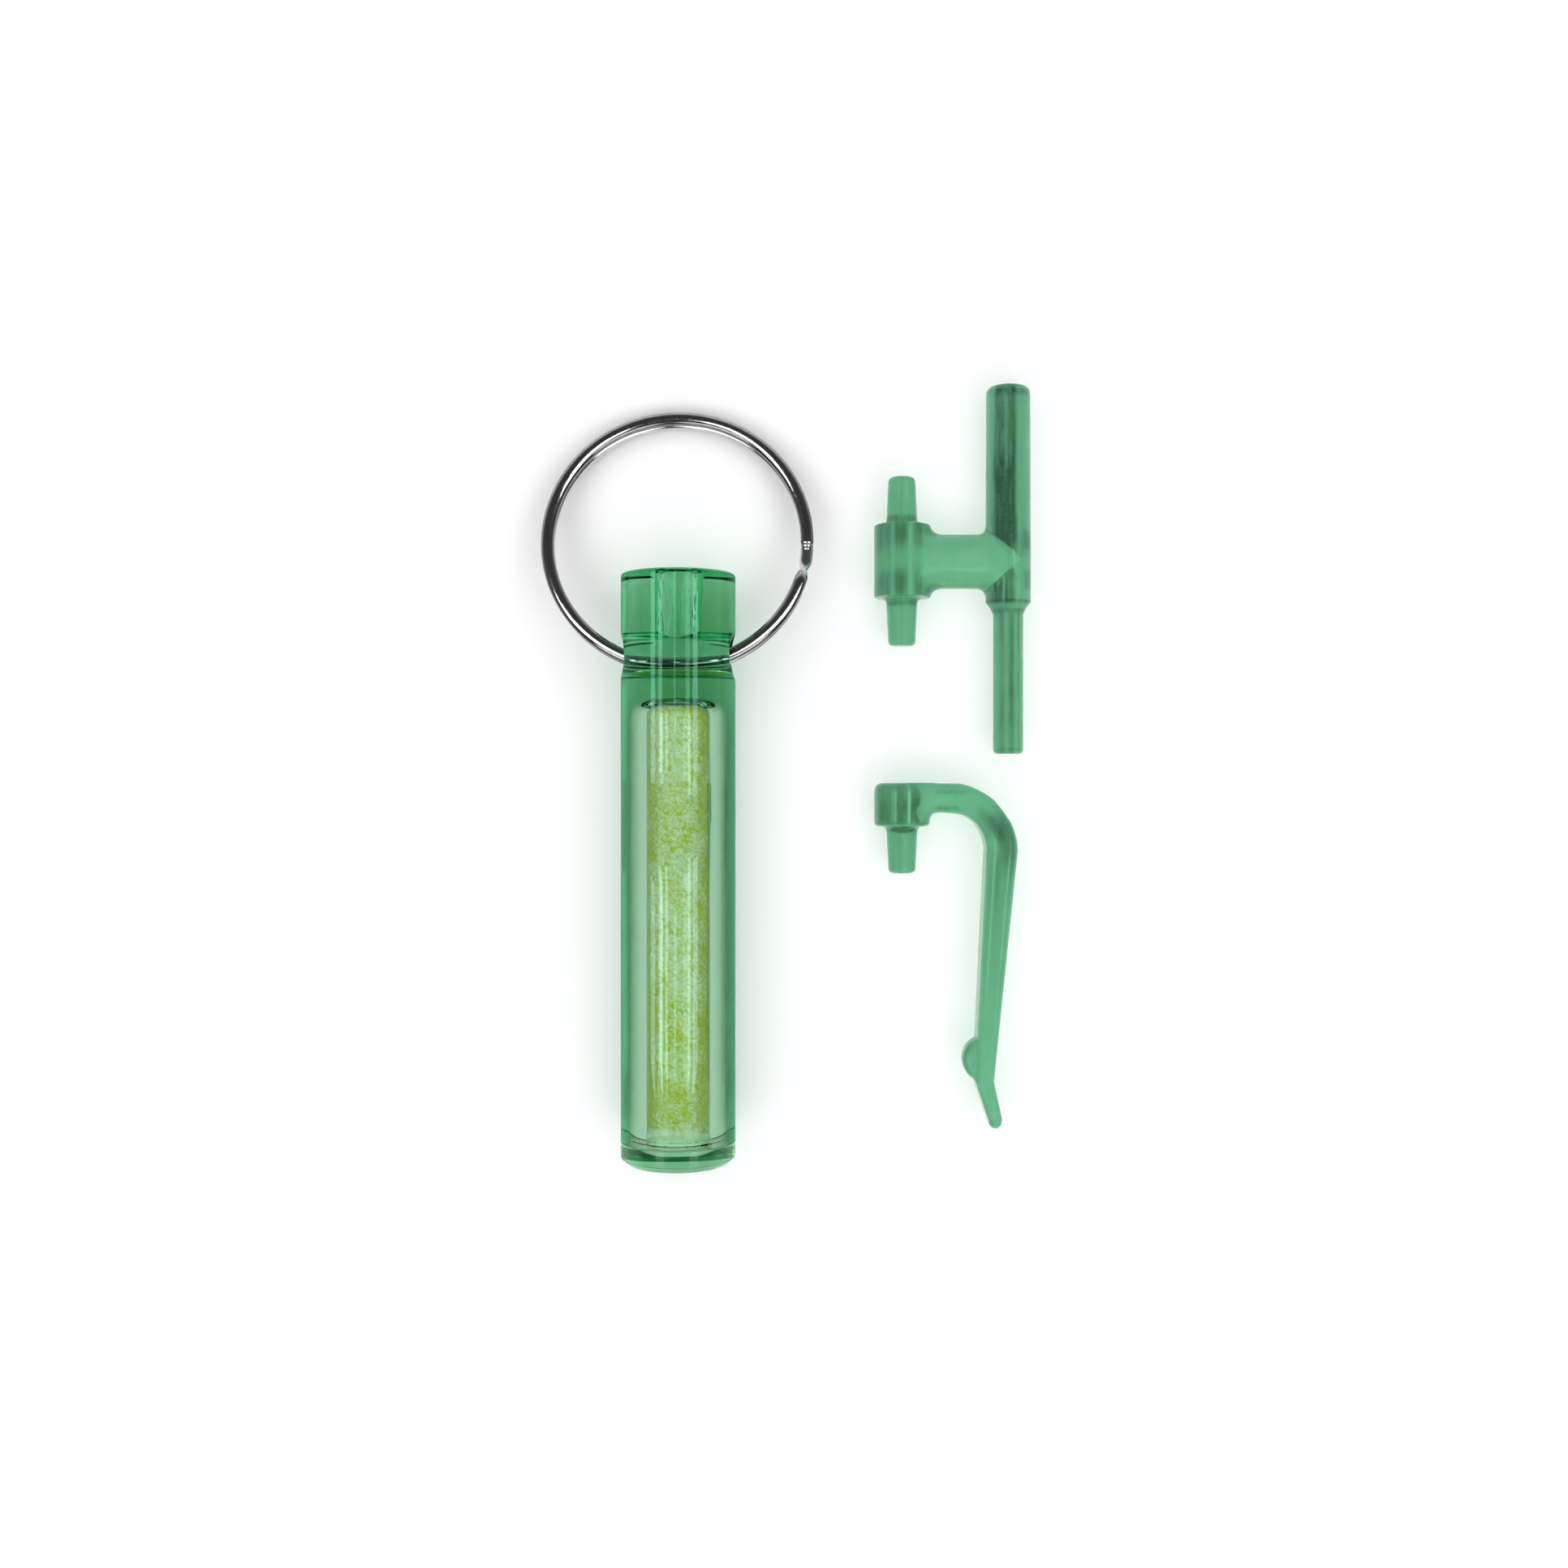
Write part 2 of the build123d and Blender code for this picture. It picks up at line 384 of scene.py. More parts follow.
def clear_material(name, ior, tint, mirror, absorb=None, roughness=0.0, bump=None,
                   lamp_pass=(0.96, 0.99, 0.975), rough_noise=None, mirror_out=None):
    """Clear moulded plastic or glass, from a bending and a mirroring shader. absorb is the loss per metre in each colour."""
    m, nt, out = new_material(name)
    refr = N(nt, "ShaderNodeBsdfRefraction")
    refr.inputs["Color"].default_value = (*tint, 1)
    refr.inputs["IOR"].default_value = ior
    refr.inputs["Roughness"].default_value = roughness
    gloss = N(nt, "ShaderNodeBsdfAnisotropic")
    gloss.inputs["Color"].default_value = (*mirror, 1)
    gloss.inputs["Roughness"].default_value = roughness
    if mirror_out:
        # the outside mirrors in another tint than the cavity wall, and in a cooler one over the fill
        at = N(nt, "ShaderNodeAttribute")
        at.attribute_name = "outside"
        mr = ramp(nt, [(0.0, (*mirror, 1)), (0.5, (*mirror_out[0], 1)), (1.0, (*mirror_out[1], 1))])
        L(nt, at.outputs["Fac"], mr.inputs["Fac"])
        L(nt, mr.outputs["Color"], gloss.inputs["Color"])
    fres = N(nt, "ShaderNodeFresnel")
    fres.inputs["IOR"].default_value = ior
    if rough_noise:
        scale, lo, hi, stretch = rough_noise
        vec = object_coords(nt, stretch)
        f = noise(nt, vec, scale, 4.0, 0.6)
        r = ramp(nt, [(0.45, grey(lo)), (0.8, grey(hi))])
        L(nt, f, r.inputs["Fac"])
        L(nt, r.outputs["Color"], refr.inputs["Roughness"])
        L(nt, r.outputs["Color"], gloss.inputs["Roughness"])
    if bump:
        scale, strength, dist, stretch = bump
        vec = object_coords(nt, stretch)
        f = noise(nt, vec, scale, 4.0, 0.6)
        bp = N(nt, "ShaderNodeBump")
        bp.inputs["Strength"].default_value = strength
        bp.inputs["Distance"].default_value = dist * MM
        L(nt, f, bp.inputs["Height"])
        for n_ in (refr, gloss, fres):
            L(nt, bp.outputs["Normal"], n_.inputs["Normal"])
    body = N(nt, "ShaderNodeMixShader")
    L(nt, fres.outputs["Fac"], body.inputs["Fac"])
    L(nt, refr.outputs["BSDF"], body.inputs[1])
    L(nt, gloss.outputs["BSDF"], body.inputs[2])
    lp = N(nt, "ShaderNodeLightPath")
    tr = N(nt, "ShaderNodeBsdfTransparent")
    tr.inputs["Color"].default_value = (*lamp_pass, 1)
    mix = N(nt, "ShaderNodeMixShader")
    L(nt, lp.outputs["Is Shadow Ray"], mix.inputs["Fac"])
    L(nt, body.outputs["Shader"], mix.inputs[1])
    L(nt, tr.outputs["BSDF"], mix.inputs[2])
    L(nt, mix.outputs["Shader"], out.inputs["Surface"])
    if absorb:
        dens = max(absorb) * 1.02
        va = N(nt, "ShaderNodeVolumeAbsorption")
        va.inputs["Color"].default_value = (*[1 - a / dens for a in absorb], 1)
        va.inputs["Density"].default_value = dens
        L(nt, va.outputs["Volume"], out.inputs["Volume"])
    return m


def moulded_material(name, ior=1.49):
    """Translucent moulded plastic. A per-piece attribute paints shade and highlight on it: dark streaks of painted
    shade and light lines of painted highlight.
    """
    m, nt, out = new_material(name)
    at = N(nt, "ShaderNodeAttribute")
    at.attribute_name = "flow"
    vec = object_coords(nt, (1, 1, 1))
    grain = noise(nt, vec, 9.0, 4.0, 0.7)
    soft = noise(nt, vec, 0.55, 2.0, 0.5)
    ga = N(nt, "ShaderNodeMath", operation="MULTIPLY_ADD")
    L(nt, grain, ga.inputs[0])
    ga.inputs[1].default_value = 0.16
    ga.inputs[2].default_value = -0.08
    gm = N(nt, "ShaderNodeMath", operation="MULTIPLY")
    L(nt, ga.outputs[0], gm.inputs[0])
    L(nt, at.outputs["Fac"], gm.inputs[1])
    sa = N(nt, "ShaderNodeMath", operation="MULTIPLY_ADD")
    L(nt, soft, sa.inputs[0])
    sa.inputs[1].default_value = 0.14
    sa.inputs[2].default_value = -0.07
    a1 = N(nt, "ShaderNodeMath", operation="ADD")
    L(nt, at.outputs["Fac"], a1.inputs[0])
    L(nt, gm.outputs[0], a1.inputs[1])
    a2 = N(nt, "ShaderNodeMath", operation="ADD", use_clamp=True)
    L(nt, a1.outputs[0], a2.inputs[0])
    L(nt, sa.outputs[0], a2.inputs[1])
    # ramp over the painted attribute: painted highlight at 0, plain green at 0.2, painted shade towards 1
    r = ramp(nt, [(0.0, (0.225, 0.570, 0.355, 1)), (0.2, (0.165, 0.475, 0.280, 1)), (0.5, (0.110, 0.310, 0.178, 1)),
                  (0.85, (0.056, 0.155, 0.086, 1)), (1.0, (0.040, 0.112, 0.062, 1))])
    L(nt, a2.outputs[0], r.inputs["Fac"])
    b = principled(nt, IOR=ior, Transmission_Weight=0.42, Roughness=0.10)
    b.inputs["Specular Tint"].default_value = (0.35, 0.85, 0.6, 1)
    L(nt, r.outputs["Color"], b.inputs["Base Color"])
    rr = ramp(nt, [(0.35, grey(0.06)), (0.8, grey(0.20))])
    L(nt, noise(nt, object_coords(nt, (1, 0.4, 1)), 1.4, 4.0, 0.6), rr.inputs["Fac"])
    L(nt, rr.outputs["Color"], b.inputs["Roughness"])
    bp = N(nt, "ShaderNodeBump")
    bp.inputs["Strength"].default_value = 0.2
    bp.inputs["Distance"].default_value = 0.02 * MM
    L(nt, noise(nt, object_coords(nt, (1, 0.35, 1)), 1.8, 3.0, 0.6), bp.inputs["Height"])
    L(nt, bp.outputs["Normal"], b.inputs["Normal"])
    lp = N(nt, "ShaderNodeLightPath")
    tr = N(nt, "ShaderNodeBsdfTransparent")
    tr.inputs["Color"].default_value = (0.72, 0.79, 0.75, 1)
    mix = N(nt, "ShaderNodeMixShader")
    L(nt, lp.outputs["Is Shadow Ray"], mix.inputs["Fac"])
    L(nt, b.outputs["BSDF"], mix.inputs[1])
    L(nt, tr.outputs["BSDF"], mix.inputs[2])
    L(nt, mix.outputs["Shader"], out.inputs["Surface"])
    return m


GREEN_ABSORB = (120.0, 50.0, 98.0)
MIRROR = (0.84, 0.76, 0.74)
MIRROR_OUT = ((0.31, 0.80, 0.56), (0.36, 0.70, 0.74))

mat_housing = clear_material(
    "housing_clear_green", 1.49, (0.88, 0.985, 0.94), MIRROR, GREEN_ABSORB,
    bump=(0.30, 0.02, 0.002, (1, 0.2, 1)), rough_noise=(1.1, 0.0, 0.002, (1, 0.4, 1)), mirror_out=MIRROR_OUT)
mat_cap = clear_material(
    "end_cap_clear_green", 1.49, (0.90, 0.99, 0.95), (0.80, 0.97, 0.88), (66.0, 26.0, 58.0),
    bump=(1.1, 0.08, 0.004, (1, 1, 1)), rough_noise=(2.2, 0.0, 0.02, (1, 1, 1)))
mat_vial = clear_material(
    "vial_borosilicate", 1.47, (0.99, 0.995, 0.99), (0.50, 0.46, 0.66), None,
    bump=(0.9, 0.06, 0.003, (1, 0.15, 1)), lamp_pass=(0.98, 0.98, 0.98))
mat_bore = clear_material(
    "vial_wetted_bore", 1.01, (0.99, 0.995, 0.99), (0.9, 0.96, 0.92), None,
    bump=(0.9, 0.06, 0.003, (1, 0.15, 1)), lamp_pass=(0.995, 0.995, 0.995))


def bond_material():
    m, nt, out = new_material("cured_bond_line")
    vec = object_coords(nt)
    f = noise(nt, vec, 1.1, 4.0, 0.65)
    r = ramp(nt, [(0.35, (0.34, 0.66, 0.46, 1)), (0.65, (0.62, 0.86, 0.72, 1))])
    L(nt, f, r.inputs["Fac"])
    b = principled(nt, Roughness=0.35, IOR=1.4, Transmission_Weight=0.7)
    L(nt, r.outputs["Color"], b.inputs["Base Color"])
    lp = N(nt, "ShaderNodeLightPath")
    tr = N(nt, "ShaderNodeBsdfTransparent")
    tr.inputs["Color"].default_value = (0.6, 0.8, 0.7, 1)
    mix = N(nt, "ShaderNodeMixShader")
    L(nt, lp.outputs["Is Shadow Ray"], mix.inputs["Fac"])
    L(nt, b.outputs["BSDF"], mix.inputs[1])
    L(nt, tr.outputs["BSDF"], mix.inputs[2])
    L(nt, mix.outputs["Shader"], out.inputs["Surface"])
    return m


def core_material():
    """Pressed phosphor granules: pale green grains with yellow-green gaps between them."""
    m, nt, out = new_material("phosphor_granules")
    vec = object_coords(nt)
    vor = N(nt, "ShaderNodeTexVoronoi", feature="DISTANCE_TO_EDGE")
    vor.inputs["Scale"].default_value = 2.2
    vor.inputs["Randomness"].default_value = 1.0
    L(nt, vec, vor.inputs["Vector"])
    fine = noise(nt, vec, 5.5, 5.0, 0.75)
    # from whitish granules over pale green to the yellow of the gaps
    at = N(nt, "ShaderNodeAttribute")
    at.attribute_name = "olive"
    wob = N(nt, "ShaderNodeMath", operation="MULTIPLY_ADD")
    L(nt, fine, wob.inputs[0])
    wob.inputs[1].default_value = 0.50
    wob.inputs[2].default_value = -0.25
    mid = N(nt, "ShaderNodeMath", operation="ADD", use_clamp=True)
    L(nt, at.outputs["Fac"], mid.inputs[0])
    L(nt, wob.outputs[0], mid.inputs[1])
    base = ramp(nt, [(0.0, (0.90, 0.82, 0.76, 1)), (0.25, (0.84, 0.76, 0.58, 1)), (0.50, (0.76, 0.69, 0.38, 1)),
                     (0.75, (0.62, 0.59, 0.16, 1)), (1.0, (0.57, 0.56, 0.03, 1))])
    L(nt, mid.outputs[0], base.inputs["Fac"])
    edge = ramp(nt, [(0.0, grey(0.80)), (0.07, grey(1.0))])
    L(nt, vor.outputs["Distance"], edge.inputs["Fac"])
    m2 = N(nt, "ShaderNodeMix", data_type="RGBA", blend_type="MULTIPLY")
    m2.inputs["Factor"].default_value = 1.0
    L(nt, base.outputs["Color"], m2.inputs[6])
    L(nt, edge.outputs["Color"], m2.inputs[7])
    b = principled(nt, Roughness=0.85, IOR=1.4)
    # the emission stands partly for the phosphor's own glow and partly for painted light that brightens the granules
    b.inputs["Emission Strength"].default_value = 0.25
    L(nt, m2.outputs[2], b.inputs["Base Color"])
    L(nt, m2.outputs[2], b.inputs["Emission Color"])
    bp = N(nt, "ShaderNodeBump")
    bp.inputs["Strength"].default_value = 0.6
    bp.inputs["Distance"].default_value = 0.06 * MM
    add = N(nt, "ShaderNodeMath", operation="ADD")
    L(nt, fine, add.inputs[0])
    L(nt, vor.outputs["Distance"], add.inputs[1])
    L(nt, add.outputs[0], bp.inputs["Height"])
    L(nt, bp.outputs["Normal"], b.inputs["Normal"])
    L(nt, b.outputs["BSDF"], out.inputs["Surface"])
    return m


def pad_material():
    m, nt, out = new_material("packing_fibre")
    vec = object_coords(nt, (1, 1, 1))
    f = noise(nt, vec, 3.5, 5.0, 0.7, 0.8)
    r = ramp(nt, [(0.3, (0.50, 0.66, 0.44, 1)), (0.7, (0.82, 0.90, 0.76, 1))])
    L(nt, f, r.inputs["Fac"])
    b = principled(nt, Roughness=0.95)
    # the emission is painted light that brightens the pad
    b.inputs["Emission Strength"].default_value = 0.22
    L(nt, r.outputs["Color"], b.inputs["Base Color"])
    L(nt, r.outputs["Color"], b.inputs["Emission Color"])
    bp = N(nt, "ShaderNodeBump")
    bp.inputs["Strength"].default_value = 0.7
    bp.inputs["Distance"].default_value = 0.08 * MM
    L(nt, f, bp.inputs["Height"])
    L(nt, bp.outputs["Normal"], b.inputs["Normal"])
    L(nt, b.outputs["BSDF"], out.inputs["Surface"])
    return m


def steel_material():
    """Bright plated spring steel with fine drawing lines and small dents."""
    m, nt, out = new_material("plated_spring_steel")
    vec = object_coords(nt)
    f = noise(nt, vec, 2.2, 5.0, 0.65)
    r = ramp(nt, [(0.35, grey(0.08)), (0.75, grey(0.18))])
    L(nt, f, r.inputs["Fac"])
    c = noise(nt, vec, 1.2, 3.0)
    cr = ramp(nt, [(0.3, (0.80, 0.80, 0.80, 1)), (0.7, (0.92, 0.92, 0.92, 1))])
    L(nt, c, cr.inputs["Fac"])
    # the attribute holds painted shade: the upper turn darker, most at its side edges, the lower turn nearly plain
    # steel
    at = N(nt, "ShaderNodeAttribute")
    at.attribute_name = "tarnish"
    tr_ = ramp(nt, [(0.0, grey(1.0)), (0.5, grey(0.58)), (1.0, grey(0.26))])
    L(nt, at.outputs["Fac"], tr_.inputs["Fac"])
    dark = N(nt, "ShaderNodeMix", data_type="RGBA", blend_type="MULTIPLY")
    dark.inputs["Factor"].default_value = 1.0
    L(nt, cr.outputs["Color"], dark.inputs[6])
    L(nt, tr_.outputs["Color"], dark.inputs[7])
    b = principled(nt, Metallic=1.0)
    L(nt, dark.outputs[2], b.inputs["Base Color"])
    L(nt, r.outputs["Color"], b.inputs["Roughness"])
    bp = N(nt, "ShaderNodeBump")
    bp.inputs["Strength"].default_value = 0.25
    bp.inputs["Distance"].default_value = 0.02 * MM
    L(nt, f, bp.inputs["Height"])
    L(nt, bp.outputs["Normal"], b.inputs["Normal"])
    L(nt, b.outputs["BSDF"], out.inputs["Surface"])
    return m


mat_acc = moulded_material("accessory_moulded_green")
mat_bond = bond_material()
mat_core = core_material()
mat_pad = pad_material()
mat_steel = steel_material()


# ---------------------------------------------------------------- housing
tab_socket = noise_field(51, (120, 120))


def housing_sdf(p):
    x, y, z = p[:, 0] - AX, p[:, 1], p[:, 2] - AZ
    rad = np.sqrt(x * x + z * z)
    outer = smax(rad - R, y - TOP, 0.30)
    outer = smax(outer, LOW - y, 0.06)
    # rounded closed end of the cavity
    q1 = rad - (CAV_R - CAV_ROUND)
    q2 = y - (CAV_TOP - CAV_ROUND)
    end = np.sqrt(np.maximum(q1, 0) ** 2 + np.maximum(q2, 0) ** 2) + np.minimum(np.maximum(q1, q2), 0) - CAV_ROUND
    cav = end
    hole = np.sqrt((y - HOLE_Y) ** 2 + z * z) - HOLE_R
    t = np.clip((y - HOLE_Y) / (TOP - HOLE_Y), 0, 1.2)
    sr = 1.33 + 0.15 * t
    flare = np.maximum(y - (TOP - 0.80), 0)
    sr = sr + flare * flare * 0.52
    ang = np.arctan2(z, x) / (2 * math.pi)
    wob = sample_noise(tab_socket, ang * 24 + 48, y * 0.55 + 30) - 0.5
    wob2 = sample_noise(tab_socket, ang * 60 + 60, y * 2.2 + 70) - 0.5
    sr = sr + (0.075 * wob + 0.03 * wob2) * np.clip((TOP - y) / 1.2, 0.2, 1)
    sock = np.maximum(rad - sr, HOLE_Y - y)
    cut = smin(hole, sock, 0.18)
    f = smax(outer, -cav, 0.06)
    f = smax(f, -cut, 0.14)
    return f


pad_ = 0.15
step = 0.13
xs = np.arange(AX - R - pad_, AX + R + pad_ + step, step)
zs = np.arange(AZ - R - pad_, AZ + R + pad_ + step, step)
ys = axis_coords((LOW - pad_, TOP + pad_), step, 1.2, [(LOW - 0.3, LOW + 0.5), (4.2, TOP + 0.3)])
pos, quads, nrm = sdf_mesh(housing_sdf, xs, ys, zs)
housing = make_object("housing_shell", pos, quads, nrm, [mat_housing], None,
                      "marker", "housing")
at_ = housing.data.attributes.new("outside", "FLOAT", "POINT")
wall_ = np.hypot(pos[:, 0] - AX, pos[:, 2] - AZ) > R - 0.4
over_fill = (np.clip((3.3 - np.abs(pos[:, 0] - AX)) / 0.7, 0, 1) * np.clip((CAV_TOP + 0.1 - pos[:, 1]) / 1.2, 0, 1)
             * np.clip((pos[:, 1] - LOW - 1.5) / 1.2, 0, 1) * wall_)
at_.data.foreach_set("value", (0.5 * (wall_ | (pos[:, 1] > CAV_TOP + 0.3)) + 0.5 * over_fill).astype(np.float32))

# ---------------------------------------------------------------- end cap
seg = 256
cl, ch_ = c_lo[1], c_hi[1]
prof = [(r_, cl) for r_ in np.linspace(0.4, R - 0.62, 12)]
prof += arc(R - 0.62, cl + 0.10, 0.10, -90, -45, 4)
prof += arc(R - 0.12, cl + 0.58, 0.12, -45, 0, 4)
prof += [(R, y_) for y_ in np.linspace(cl + 0.68, ch_ - 0.10, 8)]
prof += arc(R - 0.05, ch_ - 0.05, 0.05, 0, 90, 3)
prof += [(r_, ch_) for r_ in np.linspace(R - 0.3, 0.4, 12)]
v, f = revolve_profile(prof, seg)
cap = make_object("end_cap_disc", v, f, None, [mat_cap], None, "marker", "end_cap")

# ---------------------------------------------------------------- bond seam
tab = noise_field(11, (48, 4))


def ring_band(r_in, r_out, y0, y1, segs, wave):
    ang = np.linspace(0, 2 * math.pi, segs, endpoint=False)
    w = sample_noise(tab, ang / (2 * math.pi) * 48, np.zeros_like(ang))
    inner = r_in + wave * (w - 0.5)
    verts, faces = [], []
    rows = [(inner, y0 + 0.02), (inner + 0.04, y1), (np.full(segs, r_out - 0.04), y1), (np.full(segs, r_out), (y0 + y1) / 2),
            (np.full(segs, r_out - 0.04), y0), (inner + 0.04, y0)]
    for r_, y_ in rows:
        for a_, rr in zip(ang, r_):
            verts.append((AX + rr * math.cos(a_), y_, AZ + rr * math.sin(a_)))
    n = len(rows)
    for i in range(n):
        for j in range(segs):
            k = (j + 1) % segs
            i2 = (i + 1) % n
            faces.append((i * segs + j, i * segs + k, i2 * segs + k, i2 * segs + j))
    return verts, faces


v, f = ring_band(3.25, 5.14, s_lo[1] + 0.005, s_hi[1] - 0.005, 240, 0.5)
seam = make_object("bond_line", v, f, None, [mat_bond], None, "marker", "bond_seam")

# ---------------------------------------------------------------- vial
seg = 224
vo = v_lo[1]
rr_ = 1.42
outer_prof = [(VIAL_R, y_) for y_ in np.linspace(vo + 0.05, VIAL_TOP - rr_, 40)]
outer_prof += arc(VIAL_R - rr_, VIAL_TOP - rr_, rr_, 0, 90, 20)[1:]
outer_prof += [(r_, VIAL_TOP) for r_ in np.linspace(VIAL_R - rr_, 0.25, 6)[1:]]
ri_ = rr_ - 0.45
inner_prof = [(BORE_R, y_) for y_ in np.linspace(vo + 0.05, BORE_TOP - ri_, 40)]
inner_prof += arc(BORE_R - ri_, BORE_TOP - ri_, ri_, 0, 90, 16)[1:]
inner_prof += [(r_, BORE_TOP) for r_ in np.linspace(BORE_R - ri_, 0.25, 5)[1:]]


def tube_shell(outer_p, inner_p, segs):
    """Closed tube wall with one open end, from two profiles that both run from the open end to the pole."""
    verts, faces = [], []
    ang = [2 * math.pi * j / segs for j in range(segs)]

    def row(r_, y_):
        s_ = len(verts)
        for a_ in ang:
            verts.append((AX + r_ * math.cos(a_), y_, AZ + r_ * math.sin(a_)))
        return s_

    def join(a_, b_, flip):
        for j in range(segs):
            k = (j + 1) % segs
            q = (a_ + j, b_ + j, b_ + k, a_ + k)
            faces.append(q[::-1] if flip else q)

    ro = [row(*p_) for p_ in outer_p]
    for a_, b_ in zip(ro, ro[1:]):
        join(a_, b_, False)
    verts.append((AX, outer_p[-1][1], AZ))
    e_ = len(verts) - 1
    for j in range(segs):
        faces.append((ro[-1] + j, e_, ro[-1] + (j + 1) % segs))
    rin = [row(*p_) for p_ in inner_p]
    for a_, b_ in zip(rin, rin[1:]):
        join(a_, b_, True)
    verts.append((AX, inner_p[-1][1], AZ))
    e_ = len(verts) - 1
    for j in range(segs):
        faces.append((rin[-1] + (j + 1) % segs, e_, rin[-1] + j))
    # rounded lip
    lip = [((outer_p[0][0] + inner_p[0][0]) / 2 + (outer_p[0][0] - inner_p[0][0]) / 2 * math.cos(t_),
            outer_p[0][1] - 0.05 * math.sin(t_)) for t_ in (0.6, 1.2, 1.9, 2.5)]
    rows = [ro[0]] + [row(*p_) for p_ in lip] + [rin[0]]
    for a_, b_ in zip(rows, rows[1:]):
        join(a_, b_, True)
    return verts, faces


v, f = tube_shell(outer_prof, inner_prof, seg)
bore_faces = (len(outer_prof) - 1) * seg + seg
bore_count = (len(inner_prof) - 1) * seg + seg
which = np.zeros(len(f), np.int32)
which[bore_faces:bore_faces + bore_count] = 1
vial = make_object("vial_tube", v, f, None, [mat_vial, mat_bore], which, "marker", "glass_vial")

# ---------------------------------------------------------------- phosphor core
tabA = noise_field(21, (64, 64))
tabB = noise_field(22, (128, 128))
tabC = noise_field(23, (256, 256))


def grains(r, y, a):
    """Lumpy pressed granules: the surface falls back from the vial wall between grains."""
    u = a / (2 * math.pi)
    n1 = sample_noise(tabA, u * 16, y / 0.9 + 100)
    n2 = sample_noise(tabB, u * 48, y / 0.33 + 300)
    n3 = sample_noise(tabC, u * 110, y / 0.14 + 700)
    depth = 0.10 * np.clip(0.55 - n1, 0, 1) * 2 + 0.06 * (1 - n2) + 0.035 * (1 - n3)
    w = np.clip(r / CORE_R, 0, 1)
    return r - depth * w, y - 0.05 * (n2 - 0.5) * (r / CORE_R < 0.999)


n_y = 420
n_a = 200
rr_ = ri_
prof = [(r_, CORE_LOW + 0.08) for r_ in np.linspace(0.2, CORE_R - 0.1, 14)]
prof += [(CORE_R, y_) for y_ in np.linspace(CORE_LOW + 0.12, CORE_TOP - rr_, n_y)]
prof += arc(CORE_R - rr_, CORE_TOP - rr_, rr_, 0, 90, 14)[1:]
prof += [(r_, CORE_TOP) for r_ in np.linspace(CORE_R - rr_, 0.2, 10)[1:]]
v, f = revolve_profile(prof, n_a, grains)
core = make_object("phosphor_core", v, f, None, [mat_core], None, "marker", "luminous_core")

cp = np.array(v)
ang_ = np.arctan2(cp[:, 2] - AZ, cp[:, 0] - AX) / (2 * math.pi) + 0.5
yy_ = cp[:, 1]
patch_ = sample_noise(tabA, ang_ * 8, yy_ / 2.4 + 40) - 0.5
blob_ = sample_noise(tabA, ang_ * 16 + 7, yy_ / 0.85 + 20) - 0.5
crumb_ = sample_noise(tabB, ang_ * 50, yy_ / 0.29 + 70)
dust_ = sample_noise(tabC, ang_ * 100, yy_ / 0.14 + 90) - 0.5
vein_ = 1 - np.abs(2 * sample_noise(tabB, ang_ * 26 + 11, yy_ / 0.55 + 13) - 1)
# painted shade: the core's left and right sides, as seen from above, are pushed towards the darker olive end
painted_side_shade_ = np.clip((np.abs(cp[:, 0] - AX) - 1.25) / 0.9, 0, 1)
foot_ = np.clip((-19.0 - yy_) / 7.0, 0, 1) * np.clip((yy_ - (CORE_LOW + 0.9)) / 0.9, 0, 1)
olive = 0.42 + 0.24 * patch_ + 0.24 * blob_ + 0.56 * dust_ + 0.40 * painted_side_shade_ + 0.24 * foot_
olive += 0.34 * np.clip((vein_ - 0.90) / 0.08, 0, 1) * (patch_ + blob_ > 0.05)
olive += 0.30 * (crumb_ > 0.82)
olive -= 0.22 * (crumb_ < 0.12) + 0.5 * np.clip((CORE_LOW + 0.9 - yy_) / 0.9, 0, 1)
at_ = core.data.attributes.new("olive", "FLOAT", "POINT")
at_.data.foreach_set("value", np.clip(olive, 0, 1).astype(np.float32))

# ---------------------------------------------------------------- seating pad
tabP = noise_field(31, (96, 96))


def fluff(r, y, a):
    u = a / (2 * math.pi)
    n = sample_noise(tabP, u * 64, y / 0.12 + 40)
    mid = (p_lo[1] + p_hi[1]) / 2
    side = np.sign(y - mid)
    n2 = sample_noise(tabP, u * 40, r / 0.2)
    return r * (1 - 0.05 * n), y - side * 0.14 * n2


pl, ph = p_lo[1], p_hi[1]
prof = [(r_, pl) for r_ in np.linspace(0.2, CORE_R - 0.15, 12)]
prof += arc(CORE_R - 0.15, pl + 0.15, 0.15, -90, 0, 5)[1:]
prof += [(CORE_R, y_) for y_ in np.linspace(pl + 0.2, ph - 0.2, 4)]
prof += arc(CORE_R - 0.15, ph - 0.15, 0.15, 0, 90, 5)
prof += [(r_, ph) for r_ in np.linspace(CORE_R - 0.2, 0.2, 12)]
v, f = revolve_profile(prof, 150, fluff)
pad = make_object("fibre_pad", v, f, None, [mat_pad], None, "marker", "seating_pad")

# ---------------------------------------------------------------- split ring
RING_R, WIRE_W, WIRE_T, GAP, WIRE_ROUND = 12.5, 1.16, 0.84, 0.05, 0.38
DROOP = math.radians(-10.8765)
RC = RING_R - WIRE_W / 2
ZU = (WIRE_T + GAP) / 2


def ring_place(p):
    p = np.asarray(p, float) + np.array([-0.20, 10.9, 0])
    c_, s_ = math.cos(DROOP), math.sin(DROOP)
    y_ = p[:, 1] * c_ - p[:, 2] * s_
    z_ = p[:, 1] * s_ + p[:, 2] * c_
    return np.stack([p[:, 0] + AX, y_ + HOLE_Y, z_ + AZ], 1)


